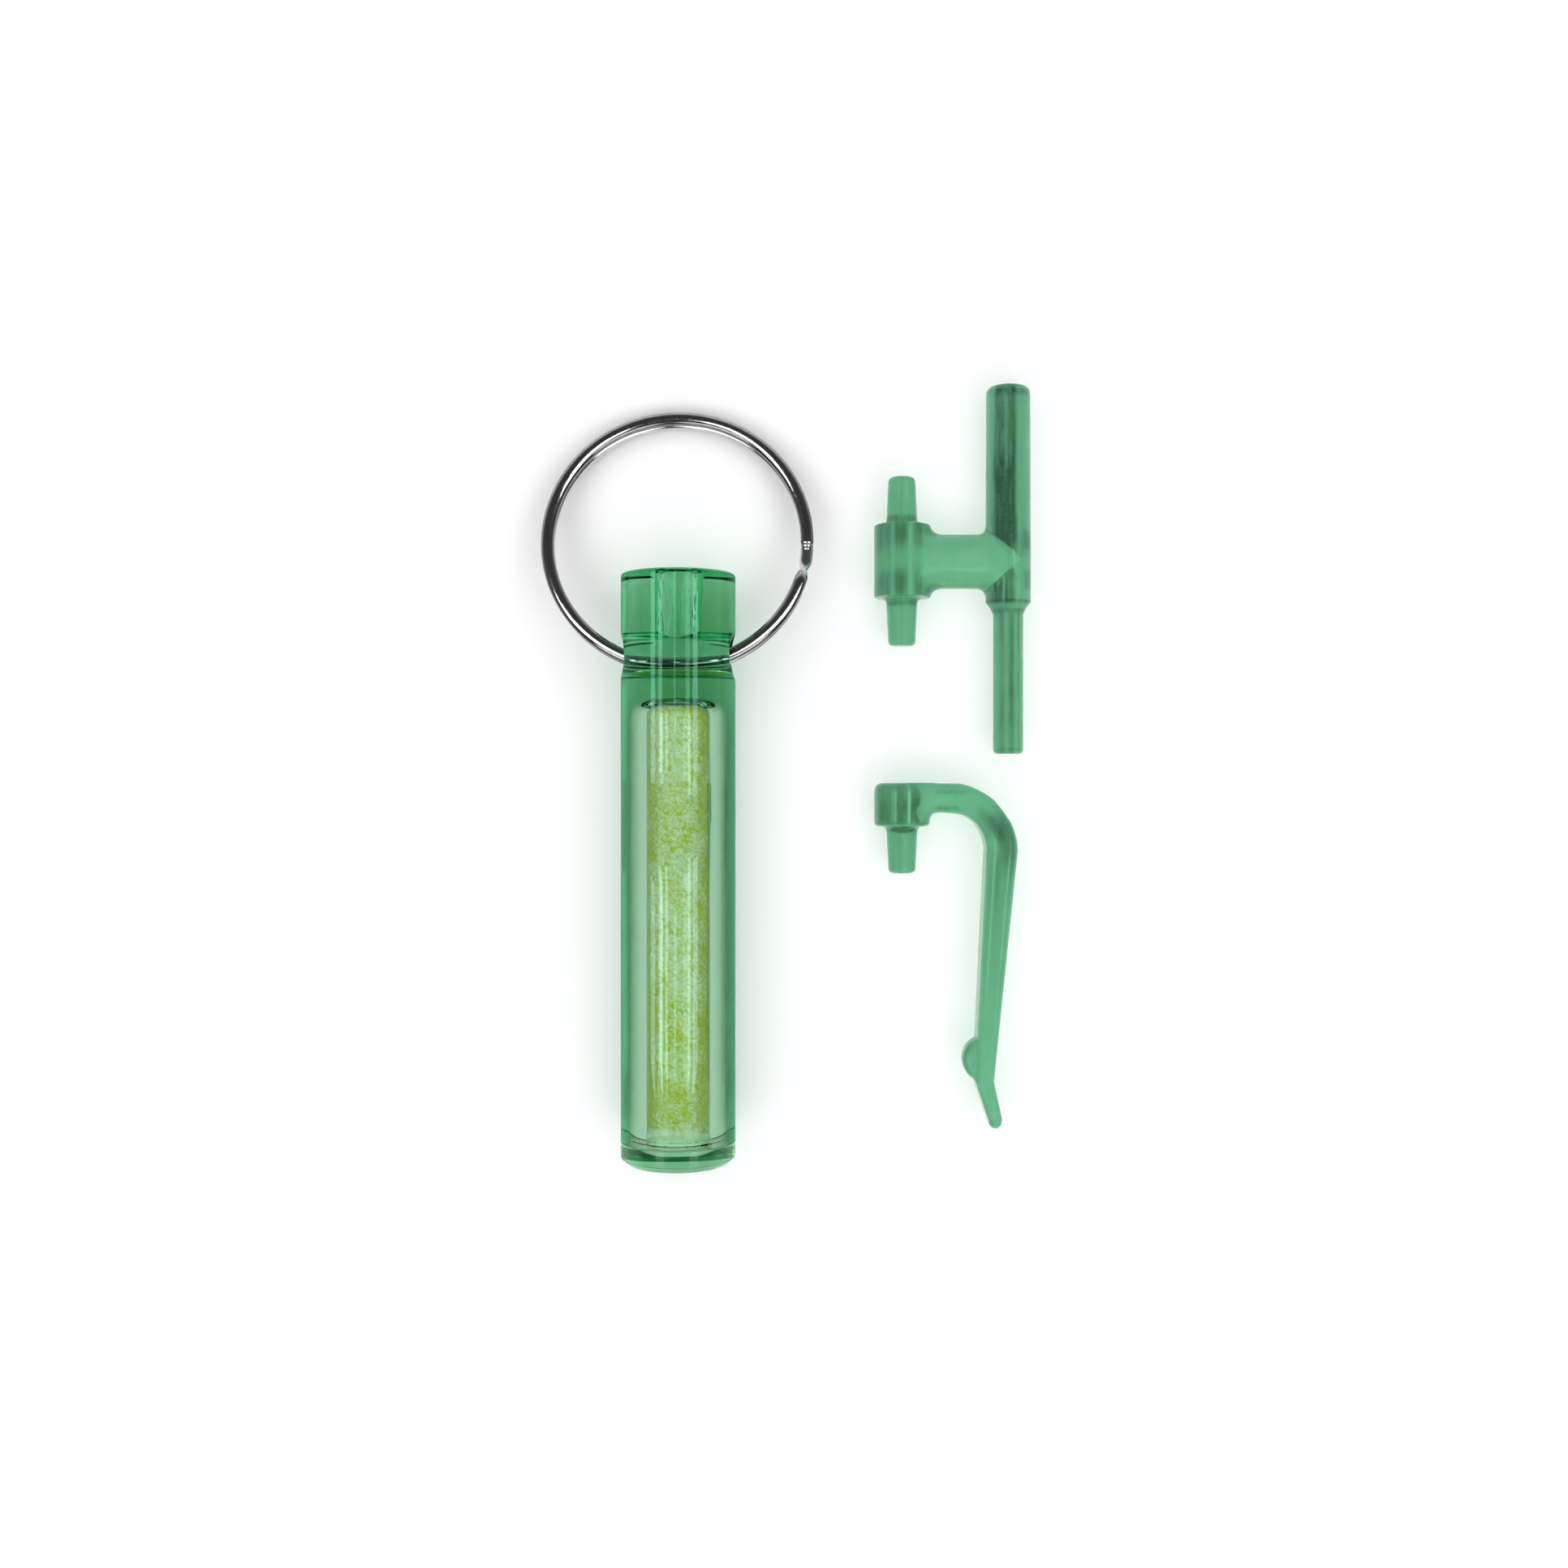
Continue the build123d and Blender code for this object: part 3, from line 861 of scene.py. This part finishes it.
def section():
    """Wire section as (radial, axial) points, counter-clockwise: crowned top and bottom, flat sides."""
    hw, ht, edge, tilt = WIRE_W / 2, WIRE_T / 2, 0.08, 46.0
    rad_ = (hw - edge * (1 - math.sin(math.radians(tilt)))) / math.sin(math.radians(tilt))
    pts = []
    n_ = 12
    for i in range(n_ + 1):
        t_ = math.radians(tilt - 2 * tilt * i / n_)
        pts.append((rad_ * math.sin(t_), ht - rad_ * (1 - math.cos(t_))))
    right = []
    x_, y_ = pts[0]
    # rounded corner from the crown to the side
    cx_, cy_ = x_ - edge * math.sin(math.radians(tilt)), y_ - edge * math.cos(math.radians(tilt))
    for i in range(1, 6):
        t_ = math.radians(90 - tilt - (90 - tilt) * i / 5)
        right.append((cx_ + edge * math.cos(t_), cy_ + edge * math.sin(t_)))
    top = [(-a_, b_) for a_, b_ in right[::-1]] + pts[::-1] + right
    # top runs from the left side over the crown to the right side
    low = [(a_, -b_) for a_, b_ in top][::-1]
    return np.array((top + low)[::-1])


def smooth01(t):
    t = min(max(t, 0.0), 1.0)
    return t * t * (3 - 2 * t)


sec = section()
start, ramp0, ramp1, stop = -2.0, 340.0, 352.0, 697.5
angles = []
a_ = start
while a_ < stop:
    angles.append(a_)
    near = a_ < start + 3 or a_ > stop - 3 or ramp0 - 3 < a_ < ramp1 + 3
    a_ += 0.4 if near else 1.5
angles.append(stop)
rows = []
for a_ in angles:
    t = 0.5 - 0.5 * math.cos(math.pi * min(max((a_ - ramp0) / (ramp1 - ramp0), 0), 1))
    zc = ZU + (-2 * ZU) * t
    shrink = 1.0
    for e_ in (a_ - start, stop - a_):
        if e_ < 1.2:
            shrink = min(shrink, 0.82 + 0.18 * math.sqrt(max(0.0, 1 - (1 - e_ / 1.2) ** 2)))
    ar = math.radians(a_)
    # the wire is pinched where it steps from one turn to the other
    pinch = 1.0 - 0.34 * math.exp(-((a_ - 347.0) / 2.6) ** 2)
    rr = RC - 0.10 * (1 - pinch) + sec[:, 0] * shrink * pinch
    rows.append(np.stack([rr * math.cos(ar), rr * math.sin(ar), zc + sec[:, 1] * shrink], 1))
verts = np.concatenate(rows)
m_ = len(sec)
faces = []
for i in range(len(rows) - 1):
    for j in range(m_):
        k = (j + 1) % m_
        faces.append((i * m_ + j, (i + 1) * m_ + j, (i + 1) * m_ + k, i * m_ + k))
v0 = verts[:m_].mean(0)
v1 = verts[-m_:].mean(0)
verts = np.concatenate([verts, [v0, v1]])
for j in range(m_):
    faces.append((len(verts) - 2, j, (j + 1) % m_))
    b_ = (len(rows) - 1) * m_
    faces.append((len(verts) - 1, b_ + (j + 1) % m_, b_ + j))
wire_up = np.concatenate([np.full(m_, 1.0 if a_ <= ramp0 + 6 else 0.0) for a_ in angles] + [np.array([1.0, 0.0])])
sides = np.concatenate([np.abs(sec[:, 0]) / (WIRE_W / 2) for a_ in angles] + [np.zeros(2)])
above = np.concatenate([(sec[:, 1] > 0) * 1.0 for a_ in angles] + [np.zeros(2)])
ring = make_object("split_ring_wire", ring_place(verts), faces, None, [mat_steel], None, "key_ring", "split_ring")

# painted shade: the upper turn darker and darkest at its side edges, the lower turn left nearly bright
shade = wire_up * (0.55 + 0.45 * np.clip((sides - 0.6) / 0.3, 0, 1)) + (1 - wire_up) * 0.12
at_ = ring.data.attributes.new("tarnish", "FLOAT", "POINT")
at_.data.foreach_set("value", np.clip(shade, 0, 1).astype(np.float32))

# ---------------------------------------------------------------- accessories
def win(t, a, b, soft):
    """1 between a and b, 0 outside, with soft ends."""
    return 0.5 * (np.tanh((t - a) / soft) - np.tanh((t - b) / soft))


def line(t, c, w):
    return np.exp(-((t - c) / w) ** 2)


tabF = noise_field(41, (128, 128))
tabG = noise_field(42, (256, 256))


def set_flow(ob, values):
    a_ = ob.data.attributes.new("flow", "FLOAT", "POINT")
    a_.data.foreach_set("value", np.clip(values, 0, 1).astype(np.float32))


def connector_flow(p):
    """Painted shade and highlight on the connector, seen from above, from 0 to 1. 0.2 is the plain colour; above it is
    painted shade, below it painted highlight.
    """
    x, y = p[:, 0] - 10.645, p[:, 1] - 19.30
    n1 = sample_noise(tabF, x * 2.4 + 20, y * 0.35 + 60) - 0.5
    n2 = sample_noise(tabG, x * 9 + 60, y * 0.9 + 90) - 0.5
    n3 = sample_noise(tabG, x * 22 + 60, y * 22 + 90) - 0.5
    d = np.full(len(p), 0.17)
    # bar and rod part along a line at half a right angle from the fillet
    v = x + np.abs(y) * 1.1 - 10.77
    in_rod = 0.5 + 0.5 * np.tanh(v / 0.10)
    long_rod = (x > 7.4)
    f_ = (x - 7.77) / 4.12 + 0.05 * n1
    up_ = win(y, 0.2, 16.6, 0.5) * long_rod * in_rod
    streak = win(f_, 0.14, 0.60, 0.045) * (0.42 + 0.34 * win(y, 1.0, 9.8, 1.6) + 0.12 * win(y, 11.0, 15.0, 1.0))
    streak = streak * (1 + 0.55 * n2 + 0.35 * n3)
    streak -= 0.36 * line(f_, 0.385, 0.038) * win(y, 8.0, 15.7, 0.9)
    streak += 0.22 * line(f_, 0.56, 0.05) * win(y, 3.0, 14.0, 2.0)
    d += up_ * np.maximum(streak, -0.1)
    d += up_ * 0.13 * win(f_, 0.66, 0.97, 0.08) * (1 + n1)
    d -= up_ * 0.10 * line(f_, 0.05, 0.05)
    d += long_rod * 0.42 * line(y, 15.35 + 0.5 * n1, 0.30) * win(f_, 0.12, 0.9, 0.06) * (0.8 + n2)
    d += long_rod * 0.30 * win(y, 0.9, 2.7, 0.2) * win(f_, 0.80, 1.1, 0.04)
    d += long_rod * 0.30 * win(y, -2.7, -0.9, 0.2) * win(f_, 0.80, 1.1, 0.04)
    mid = long_rod * win(y, -3.9, 2.6, 0.3) * in_rod
    d += mid * 0.10
    d -= long_rod * 0.16 * line(f_, 0.66, 0.05) * win(y, -3.6, 3.2, 0.5)
    low = long_rod * win(y, -3.9, -0.9, 0.25) * in_rod
    d += low * win(f_, 0.12, 0.55, 0.05) * (0.42 + 0.7 * n2) - low * 0.16 * line(f_, 0.34, 0.04)
    d += 0.34 * (x > 7.0) * line(v, 0.0, 0.10) * win(np.abs(y), 0.9, 3.0, 0.2)
    # cone and thin rod
    g = (x - 8.44) / 2.78 + 0.03 * n1
    d += long_rod * (0.40 * line(y, -3.80, 0.17) + 0.34 * line(y, -4.62, 0.20) + 0.18 * win(y, -4.6, -3.8, 0.1)) * (0.9 + 0.6 * n2)
    thin_ = long_rod * win(y, -18.0, -4.7, 0.15)
    d += thin_ * (0.20 * line(g, 0.24, 0.07) + 0.32 * line(g, 0.55, 0.085) + 0.15 * line(g, 0.80, 0.06)) * (1 + 0.9 * n1 + 0.7 * n2)
    d += thin_ * 0.10 * win(g, 0.15, 0.85, 0.05) - thin_ * 0.10 * (line(g, 0.38, 0.035) + line(g, 0.70, 0.035))
    d += long_rod * 0.20 * line(y, -17.4, 0.12) * win(g, 0.15, 0.85, 0.05)
    # boss
    h_ = (x + 2.57) / 5.14 + 0.02 * n1
    ay = np.abs(y)
    ends = 0.22 + 0.78 * win(ay, 1.15, 3.3, 0.45)
    bossm = win(y, -3.36, 3.36, 0.05) * win(x, -2.7, 1.75, 0.12)
    bd = 0.26 * win(h_, 0.05, 0.27, 0.035) + 0.50 * win(h_, 0.33, 0.56, 0.04) + 0.30 * win(h_, 0.67, 0.83, 0.04)
    d += bossm * bd * ends * (1 + 0.6 * n2) + bossm * 0.06
    d -= bossm * 0.12 * (line(h_, 0.30, 0.025) + line(h_, 0.615, 0.03))
    d += win(x, 1.2, 3.6, 0.2) * 0.20 * win(ay, 2.3, 3.5, 0.25)
    # collars and plugs
    ring_ = win(ay, 3.42, 4.15, 0.10)
    d += win(x, -2.3, 2.3, 0.1) * ring_ * (0.34 + 0.3 * n2) * (x < 4)
    d -= win(x, -2.3, 2.4, 0.1) * 0.12 * line(ay, 3.40, 0.06)
    k_ = (x + 1.42) / 2.84
    plug_ = win(ay, 4.15, 7.9, 0.1) * (x < 4)
    d += plug_ * (0.07 * win(k_, 0.2, 0.8, 0.06) + 0.10 * line(k_, 0.45, 0.06)) * (1 + n1)
    d -= plug_ * (y > 0) * 0.14 * (line(k_, 0.37, 0.03) + line(k_, 0.63, 0.03)) * win(y, 5.6, 7.4, 0.3)
    # bar
    bar_ = win(x, 2.7, 7.6, 0.2) * (ay < 2.7)
    d += bar_ * (0.22 * line(ay, 2.35, 0.14) + 0.05 * n2) - bar_ * 0.05 * line(y, 0.0, 1.0)
    return d


# Painted shade and highlight on the clip, seen from above, on the same scale as for the connector.
def clip_flow(p):
    x, y = p[:, 0] - 10.65, p[:, 1] + 3.14
    n1 = sample_noise(tabF, x * 2.0 + 40, y * 0.4 + 80) - 0.5
    n2 = sample_noise(tabG, x * 9 + 20, y * 1.1 + 90) - 0.5
    n3 = sample_noise(tabG, x * 22 + 60, y * 22 + 120) - 0.5
    d = np.full(len(p), 0.17)
    h_ = (x + 2.57) / 5.14
    edge = 0.77 + 0.05 * np.sin(y * 2.4)
    bossm = win(y, -1.75, 1.75, 0.18) * win(h_, 0.02, edge, 0.02)
    low_ = 0.60 + 0.40 * win(y, -2.2, 0.4, 0.7)
    bd = 0.40 * win(h_, 0.06, 0.28, 0.04) + 0.55 * win(h_, 0.37, 0.57, 0.02) + 0.62 * win(h_, 0.615, 0.80, 0.02) + 0.25 * win(h_, 0.28, 0.37, 0.02)
    d += bossm * bd * low_ * (1 + 0.45 * n2 + 0.3 * n3)
    d -= bossm * win(y, -1.55, 1.15, 0.15) * (0.62 * line(h_, 0.352, 0.016) + 0.42 * line(h_, 0.303, 0.013) + 0.72 * line(h_, 0.592, 0.017))
    d += win(h_, 0.04, 0.95, 0.03) * (0.28 * line(y, -1.72, 0.07)) * (0.9 + n2)
    # foot of the plug and plug
    lens = np.hypot(x / 1.35, (y + 2.28) / 0.34)
    d += 0.62 * (1 - np.tanh(np.maximum(lens - 0.75, 0) * 5)) * (y < -1.9) * (1 + 0.5 * n3)
    k_ = (x + 1.42) / 2.84
    plug_ = win(y, -6.4, -2.5, 0.12) * (np.abs(x) < 1.8)
    d += plug_ * (0.07 * win(k_, 0.2, 0.85, 0.06) + 0.12 * line(k_, 0.40, 0.06) + 0.08 * line(k_, 0.70, 0.05)) * (1 + n1)
    # arm: share of its width, from the inner to the outer side
    t = np.clip((-y - 4.0) / 21.4, 0, 1)
    fs = (x - (7.68 - 1.03 * t)) / ((10.56 - 2.18 * t) - (7.68 - 1.03 * t))
    rho = np.hypot(x - 4.25, y + 4.35)
    th = np.degrees(np.arctan2(y + 4.35, x - 4.25))
    fb = (rho - 3.5) / 2.78
    blend = np.clip((y + 5.6) / 2.4, 0, 1)
    blend = blend * blend * (3 - 2 * blend)
    f_ = fb * blend + fs * (1 - blend)
    arm_ = (x > 4.25) * 1.0
    bd = 0.50 * win(f_, 0.38, 0.90, 0.09) * win(th, 0.0, 40.0, 11.0) + 0.30 * win(f_, 0.12, 0.55, 0.07) * win(th, 18.0, 52.0, 9.0)
    d += arm_ * bd * (1 + 0.5 * n1 + 0.4 * n3)
    run = arm_ * (1 - blend) * win(t, -0.2, 0.80, 0.10)
    fade = np.clip(1.05 - 1.25 * t, 0.12, 1)
    d += run * fade * (0.34 * win(f_, 0.30, 0.70, 0.05) + 0.16 * win(f_, 0.10, 0.24, 0.03) + 0.26 * win(f_, 0.76, 0.90, 0.03)) * (1 + 0.7 * n1)
    # painted highlight lines along the arm
    lines = arm_ * (0.34 * line(f_, 0.25, 0.024) * win(y, -17.0, -2.4, 0.8) + 0.34 * line(f_, 0.735, 0.020) * win(y, -15.0, -3.6, 0.8))
    d -= lines
    d -= arm_ * 0.08 * (line(f_, 0.03, 0.05) + line(f_, 0.97, 0.05))
    d += 0.26 * win(x, 3.0, 5.6, 0.5) * line(y, 1.15, 0.20) * (1 + n2)
    d += 0.30 * win(x, 2.8, 5.1, 0.4) * line(y, -0.32, 0.20) * (1 + n2)
    # rim of the little disc and the outline of the foot of the arm
    b_ = np.hypot(x - 7.66, y + 23.48)
    d += 0.20 * line(b_, 2.00, 0.12) * (x < 6.9) + 0.12 * line(x - (7.68 - 1.03 * t), 0.05, 0.10) * (np.abs(y + 23.48) < 2.1)
    return d


BOSS_R = 2.57
PB, PT, PE, PF = 1.42, 1.24, 0.42, 0.55


def plug_sdf(rad, h, start, length):
    """Tapered plug along +h, narrowing from start to length, with a rounded tip."""
    r_ = PB + (PT - PB) * np.clip((h - start - PF) / (length - start - PF), 0, 1)
    return smax(rad - r_, h - length, 1.17 * PE)


def rounded_cyl(rad, h, r_, half, k):
    return smax(rad - r_, np.abs(h) - half, k)


def connector_sdf(p):
    x, y, z = p[:, 0] - 10.645, p[:, 1] - 19.30, p[:, 2] - BOSS_R
    rad = np.hypot(x, z)
    boss = rounded_cyl(rad, y, BOSS_R, 3.35, 0.22)
    up = np.maximum(plug_sdf(rad, y, 3.35, 7.80), -y)
    dn = np.maximum(plug_sdf(rad, -y, 3.35, 7.80), y)
    f_ = smin(boss, np.minimum(up, dn), 0.66)
    bar = np.maximum(np.hypot(y, z) - 2.50, np.maximum(-x, x - 9.83))
    xs_ = x - 9.83
    rs = np.hypot(xs_, z)
    r_rod = np.where(y > 0, 2.08 + (2.03 - 2.08) * y / 16.15, 2.08)
    rod = smax(rs - r_rod, y - 16.15, 0.76)
    rod = np.maximum(rod, -3.75 - y)
    cone_r = 2.08 + (1.39 - 2.08) * np.clip((-3.75 - y) / 0.9, 0, 1)
    cone = np.maximum((rs - cone_r) * 0.8, np.maximum(y + 3.75, -4.65 - y))
    rod = np.minimum(rod, cone)
    thin = smax(rs - 1.39, -17.77 - y, 0.50)
    thin = np.maximum(thin, y)
    rod = smin(rod, thin, 0.35)
    f_ = smin(f_, bar, 1.3)
    f_ = smin(f_, rod, 0.95)
    f_ = smax(f_, -(p[:, 2] - 0.0) + 0.004, 0.05)
    f_ = smax(f_, p[:, 2] - 5.136, 0.05)
    f_ = np.maximum(f_, p[:, 0] - 22.552)
    f_ = np.maximum(f_, 8.078 - p[:, 0])
    return f_


step = 0.11
xs = np.arange(n_lo[0] - 0.2, n_hi[0] + 0.2 + step, step)
ys = np.arange(n_lo[1] - 0.2, n_hi[1] + 0.2 + step, step)
zs = np.arange(n_lo[2] - 0.2, n_hi[2] + 0.2 + step, step)
pos, quads, nrm = sdf_mesh(connector_sdf, xs, ys, zs)
connector = make_object("connector_moulding", pos, quads, nrm, [mat_acc], None, "connector", "stem_connector")
set_flow(connector, connector_flow(pos))

# clip outline, from the boss centre, in the layout plane
def catmull(pts, n, start_t=None, end_t=None):
    pts = [np.array(p_, float) for p_ in pts]
    out = []
    for i in range(len(pts) - 1):
        p0 = pts[i - 1] if i > 0 else pts[0] - (pts[1] - pts[0])
        p3 = pts[i + 2] if i + 2 < len(pts) else pts[-1] + (pts[-1] - pts[-2])
        p1, p2 = pts[i], pts[i + 1]
        for k in range(n):
            t = k / n
            out.append(0.5 * ((2 * p1) + (p2 - p0) * t + (2 * p0 - 5 * p1 + 4 * p2 - p3) * t * t
                              + (3 * p1 - p0 - 3 * p2 + p3) * t ** 3))
    out.append(pts[-1])
    return out


arm_outer = [(5.20, 1.95), (6.10, 1.72), (6.72, 1.44), (7.48, 1.06), (8.23, 0.54),
             (8.98, -0.29), (9.73, -1.34), (10.10, -2.01), (10.48, -3.29), (10.56, -4.26)]
arm_inner = [(3.75, -0.74), (5.22, -0.89), (5.98, -1.19), (6.72, -1.79), (7.10, -2.31),
             (7.48, -3.06), (7.68, -3.96)]
outline = [(0.6, 1.95), (3.0, 1.95)] + catmull(arm_outer, 4) + [(8.38, -25.43), (9.13, -28.90)]
outline += [(9.02, -29.45), (8.62, -29.75), (8.15, -29.66), (7.93, -29.40), (7.86, -29.05), (6.65, -25.43)]
outline += [tuple(q) for q in catmull(arm_inner, 4)[::-1]] + [(0.6, -0.74)]
outline = [tuple(map(float, q)) for q in outline]


def clip_sdf(p):
    x, y, z = p[:, 0] - 10.65, p[:, 1] + 3.14, p[:, 2] - BOSS_R
    rad = np.hypot(x, z)
    boss = smax(smax(rad - BOSS_R, y - 2.01, 0.88), -2.01 - y, 0.47)
    pl_ = np.maximum(plug_sdf(rad, -y, 2.01, 6.34), y)
    f_ = smin(boss, pl_, 0.66)
    o = seg_sdf2(x, y, outline)
    # rounded edges on the arm's two flat faces
    e_ = 0.72
    qx, qz = o + e_, np.abs(z) - 1.8 + e_
    arm = np.sqrt(np.maximum(qx, 0) ** 2 + np.maximum(qz, 0) ** 2) + np.minimum(np.maximum(qx, qz), 0) - e_
    b_ = np.hypot(x - 7.66, y + 23.48)
    bump_ = smax(b_ - 2.13, np.abs(z) - 1.3, 1.0)
    bump_ = np.maximum(bump_, x - 7.9)
    f_ = smin(f_, arm, 0.9)
    f_ = smin(f_, bump_, 0.25)
    f_ = smax(f_, -p[:, 2] + 0.004, 0.05)
    f_ = smax(f_, p[:, 2] - 5.136, 0.05)
    f_ = np.maximum(f_, 8.083 - p[:, 0])
    f_ = np.maximum(f_, p[:, 0] - 21.228)
    f_ = smax(f_, y - 2.005, 0.05)
    return f_


def grid_for(lo, hi, s_):
    return [np.arange(lo[d] - 0.2, hi[d] + 0.2 + s_, s_) for d in range(3)]


def banded_mesh(fun, grids):
    """As sdf_mesh, on the given grids."""
    xs_, ys_, zs_ = grids
    return sdf_mesh(fun, xs_, ys_, zs_)


step = 0.11
pos, quads, nrm = banded_mesh(clip_sdf, grid_for(q_lo, q_hi, step))
clip = make_object("clip_moulding", pos, quads, nrm, [mat_acc], None, "clip", "pocket_clip")
set_flow(clip, clip_flow(pos))

# ---------------------------------------------------------------- floor
bpy.ops.mesh.primitive_plane_add(size=1.9, location=(0, 0, -0.00002))
floor = bpy.context.active_object
floor.name = "floor"
fm, nt, out = new_material("pale_floor")
b = principled(nt, Base_Color=(0.93, 0.93, 0.93, 1), Roughness=0.9)
b.inputs["Specular IOR Level"].default_value = 0.0
L(nt, b.outputs["BSDF"], out.inputs["Surface"])
floor.data.materials.append(fm)

# ---------------------------------------------------------------- light
def only_on(light_ob, *objs):
    """Keeps this light to these pieces."""
    group = bpy.data.collections.new(light_ob.name + "_receivers")
    for o_ in objs:
        group.objects.link(o_)
    light_ob.light_linking.receiver_collection = group
    for c_ in group.collection_objects:
        c_.light_linking.link_state = "INCLUDE"


def area(name, direction, width_deg, height_deg, radiance, distance=0.55, colour=(1, 1, 1), spread=None):
    """A soft panel seen from the object in the given direction, facing it. Sizes are angles as seen from the origin."""
    d = np.array(direction, float)
    d = d / np.linalg.norm(d)
    light = bpy.data.lights.new(name, "AREA")
    light.shape = "RECTANGLE"
    light.size = 2 * distance * math.tan(math.radians(width_deg / 2))
    light.size_y = 2 * distance * math.tan(math.radians(height_deg / 2))
    light.energy = radiance * math.pi * light.size * light.size_y
    light.color = colour
    ob = bpy.data.objects.new(name, light)
    scene.collection.objects.link(ob)
    ob.location = d * distance
    from mathutils import Vector
    ob.rotation_euler = Vector(-d).to_track_quat("-Z", "Y").to_euler()
    return ob


def window(name, tx, ty, w, h, radiance, distance=0.6):
    """A pane whose middle lies tx degrees to +X and ty degrees to +Y of the zenith, kept square with X and Y."""
    x_, y_ = math.tan(math.radians(tx)), math.tan(math.radians(ty))
    light = bpy.data.lights.new(name, "AREA")
    light.shape = "RECTANGLE"
    x0, x1 = math.tan(math.radians(tx - w / 2)), math.tan(math.radians(tx + w / 2))
    y0, y1 = math.tan(math.radians(ty - h / 2)), math.tan(math.radians(ty + h / 2))
    light.size, light.size_y = distance * (x1 - x0), distance * (y1 - y0)
    light.energy = radiance * math.pi * light.size * light.size_y
    ob = bpy.data.objects.new(name, light)
    scene.collection.objects.link(ob)
    ob.location = (distance * (x0 + x1) / 2 - 0.00985, distance * (y0 + y1) / 2 - 0.00125, distance)
    return ob


def streak_light(name, phi0, phi1, y0, y1, radiance, distance=0.6):
    """A pane that mirrors in the marker's top between the surface normals phi0 and phi1 (degrees from
    the zenith, towards +X) and between y0 and y1 along the marker, for an eye over the layout."""
    lean = 3.9
    th = [math.radians(2 * p_ - lean) for p_ in (phi0, phi1)]
    tm = (th[0] + th[1]) / 2
    x0_, x1_ = [distance * math.tan(t_) for t_ in th]
    ys_ = [y_ * MM + distance / math.cos(tm) * (y_ + 1.25) / 134.8 for y_ in (y0, y1)]
    light = bpy.data.lights.new(name, "AREA")
    light.shape = "RECTANGLE"
    light.size, light.size_y = abs(x1_ - x0_), abs(ys_[1] - ys_[0])
    # a tilted view of a level pane: its radiance doesn't change with the angle
    light.energy = radiance * math.pi * light.size * light.size_y
    ob = bpy.data.objects.new(name, light)
    scene.collection.objects.link(ob)
    ob.location = ((x0_ + x1_) / 2 + AX * MM, (ys_[0] + ys_[1]) / 2, distance)
    return ob


PANE = 5.6
panes = []
for k_, (a_, b_) in enumerate([(-24.1, -19.3), (-15.9, -11.9), (-0.2, 0.9), (10.9, 15.2), (18.2, 23.1)]):
    pw = PANE * (1.0, 1.0, 0.9, 0.6, 1.0)[k_]
    panes.append(streak_light(f"pane_top_{k_}", a_, b_, (-1.2, -0.2, 3.0, -1.0, -2.2)[k_], 22.0, pw))
    panes.append(streak_light(f"pane_low_{k_}", a_, b_, -27.0, (-9.6, -8.4, -12.0, -9.0, -7.6)[k_], pw))
for sx in (-1, 1):
    area(f"softbox_{sx}", (sx * 0.62 * 0.66, -0.79 * 0.66, 0.75), 38, 26, 1.6)
    # two narrow boxes high over the ring
    over = window(f"ring_box_{sx}", sx * 27, 5.5, 33, 19, 8.0)
    over.location.y += 0.019
    only_on(over, ring)
fill = area("overhead_fill", (0, 0, 1), 110, 110, 1.16, distance=0.8)
fill.data.cycles.use_multiple_importance_sampling = False
fill.visible_glossy = False
fill.visible_transmission = False
fill.visible_camera = False
for p_ in panes:
    only_on(p_, housing, cap)

world = bpy.data.worlds.new("studio")
scene.world = world
world.use_nodes = True
nt = world.node_tree
nt.nodes.clear()
wo = nt.nodes.new("ShaderNodeOutputWorld")
bg = nt.nodes.new("ShaderNodeBackground")
tc = nt.nodes.new("ShaderNodeTexCoord")
sep = nt.nodes.new("ShaderNodeSeparateXYZ")
nt.links.new(tc.outputs["Generated"], sep.inputs[0])
up = ramp(nt, [(0.0, grey(0.94)), (0.02, grey(0.84)), (0.10, grey(0.72)), (0.28, grey(0.28)), (0.45, grey(0.08)), (1.0, grey(0.045))])
nt.links.new(sep.outputs["Z"], up.inputs["Fac"])
nt.links.new(up.outputs["Color"], bg.inputs["Color"])
bg.inputs["Strength"].default_value = 1.0
nt.links.new(bg.outputs["Background"], wo.inputs["Surface"])

# ---------------------------------------------------------------- camera
cam_data = bpy.data.cameras.new("camera")
cam_data.sensor_width = 36.0
cam_data.lens = 35.40
cam_data.clip_start = 0.001
cam_data.clip_end = 10.0
cam = bpy.data.objects.new("camera", cam_data)
scene.collection.objects.link(cam)
cam.location = (-0.000255, -0.00125, 0.1452)
cam.rotation_euler = (0, 0, 0)
scene.camera = cam

scene.view_settings.view_transform = "Standard"
scene.view_settings.look = "None"
scene.view_settings.exposure = 0.0
scene.view_settings.gamma = 1.0
scene.cycles.max_bounces = 24
scene.cycles.transmission_bounces = 24
scene.cycles.glossy_bounces = 8
scene.cycles.transparent_max_bounces = 24
scene.cycles.sample_clamp_indirect = 6.0
scene.cycles.caustics_reflective = False
scene.cycles.caustics_refractive = False
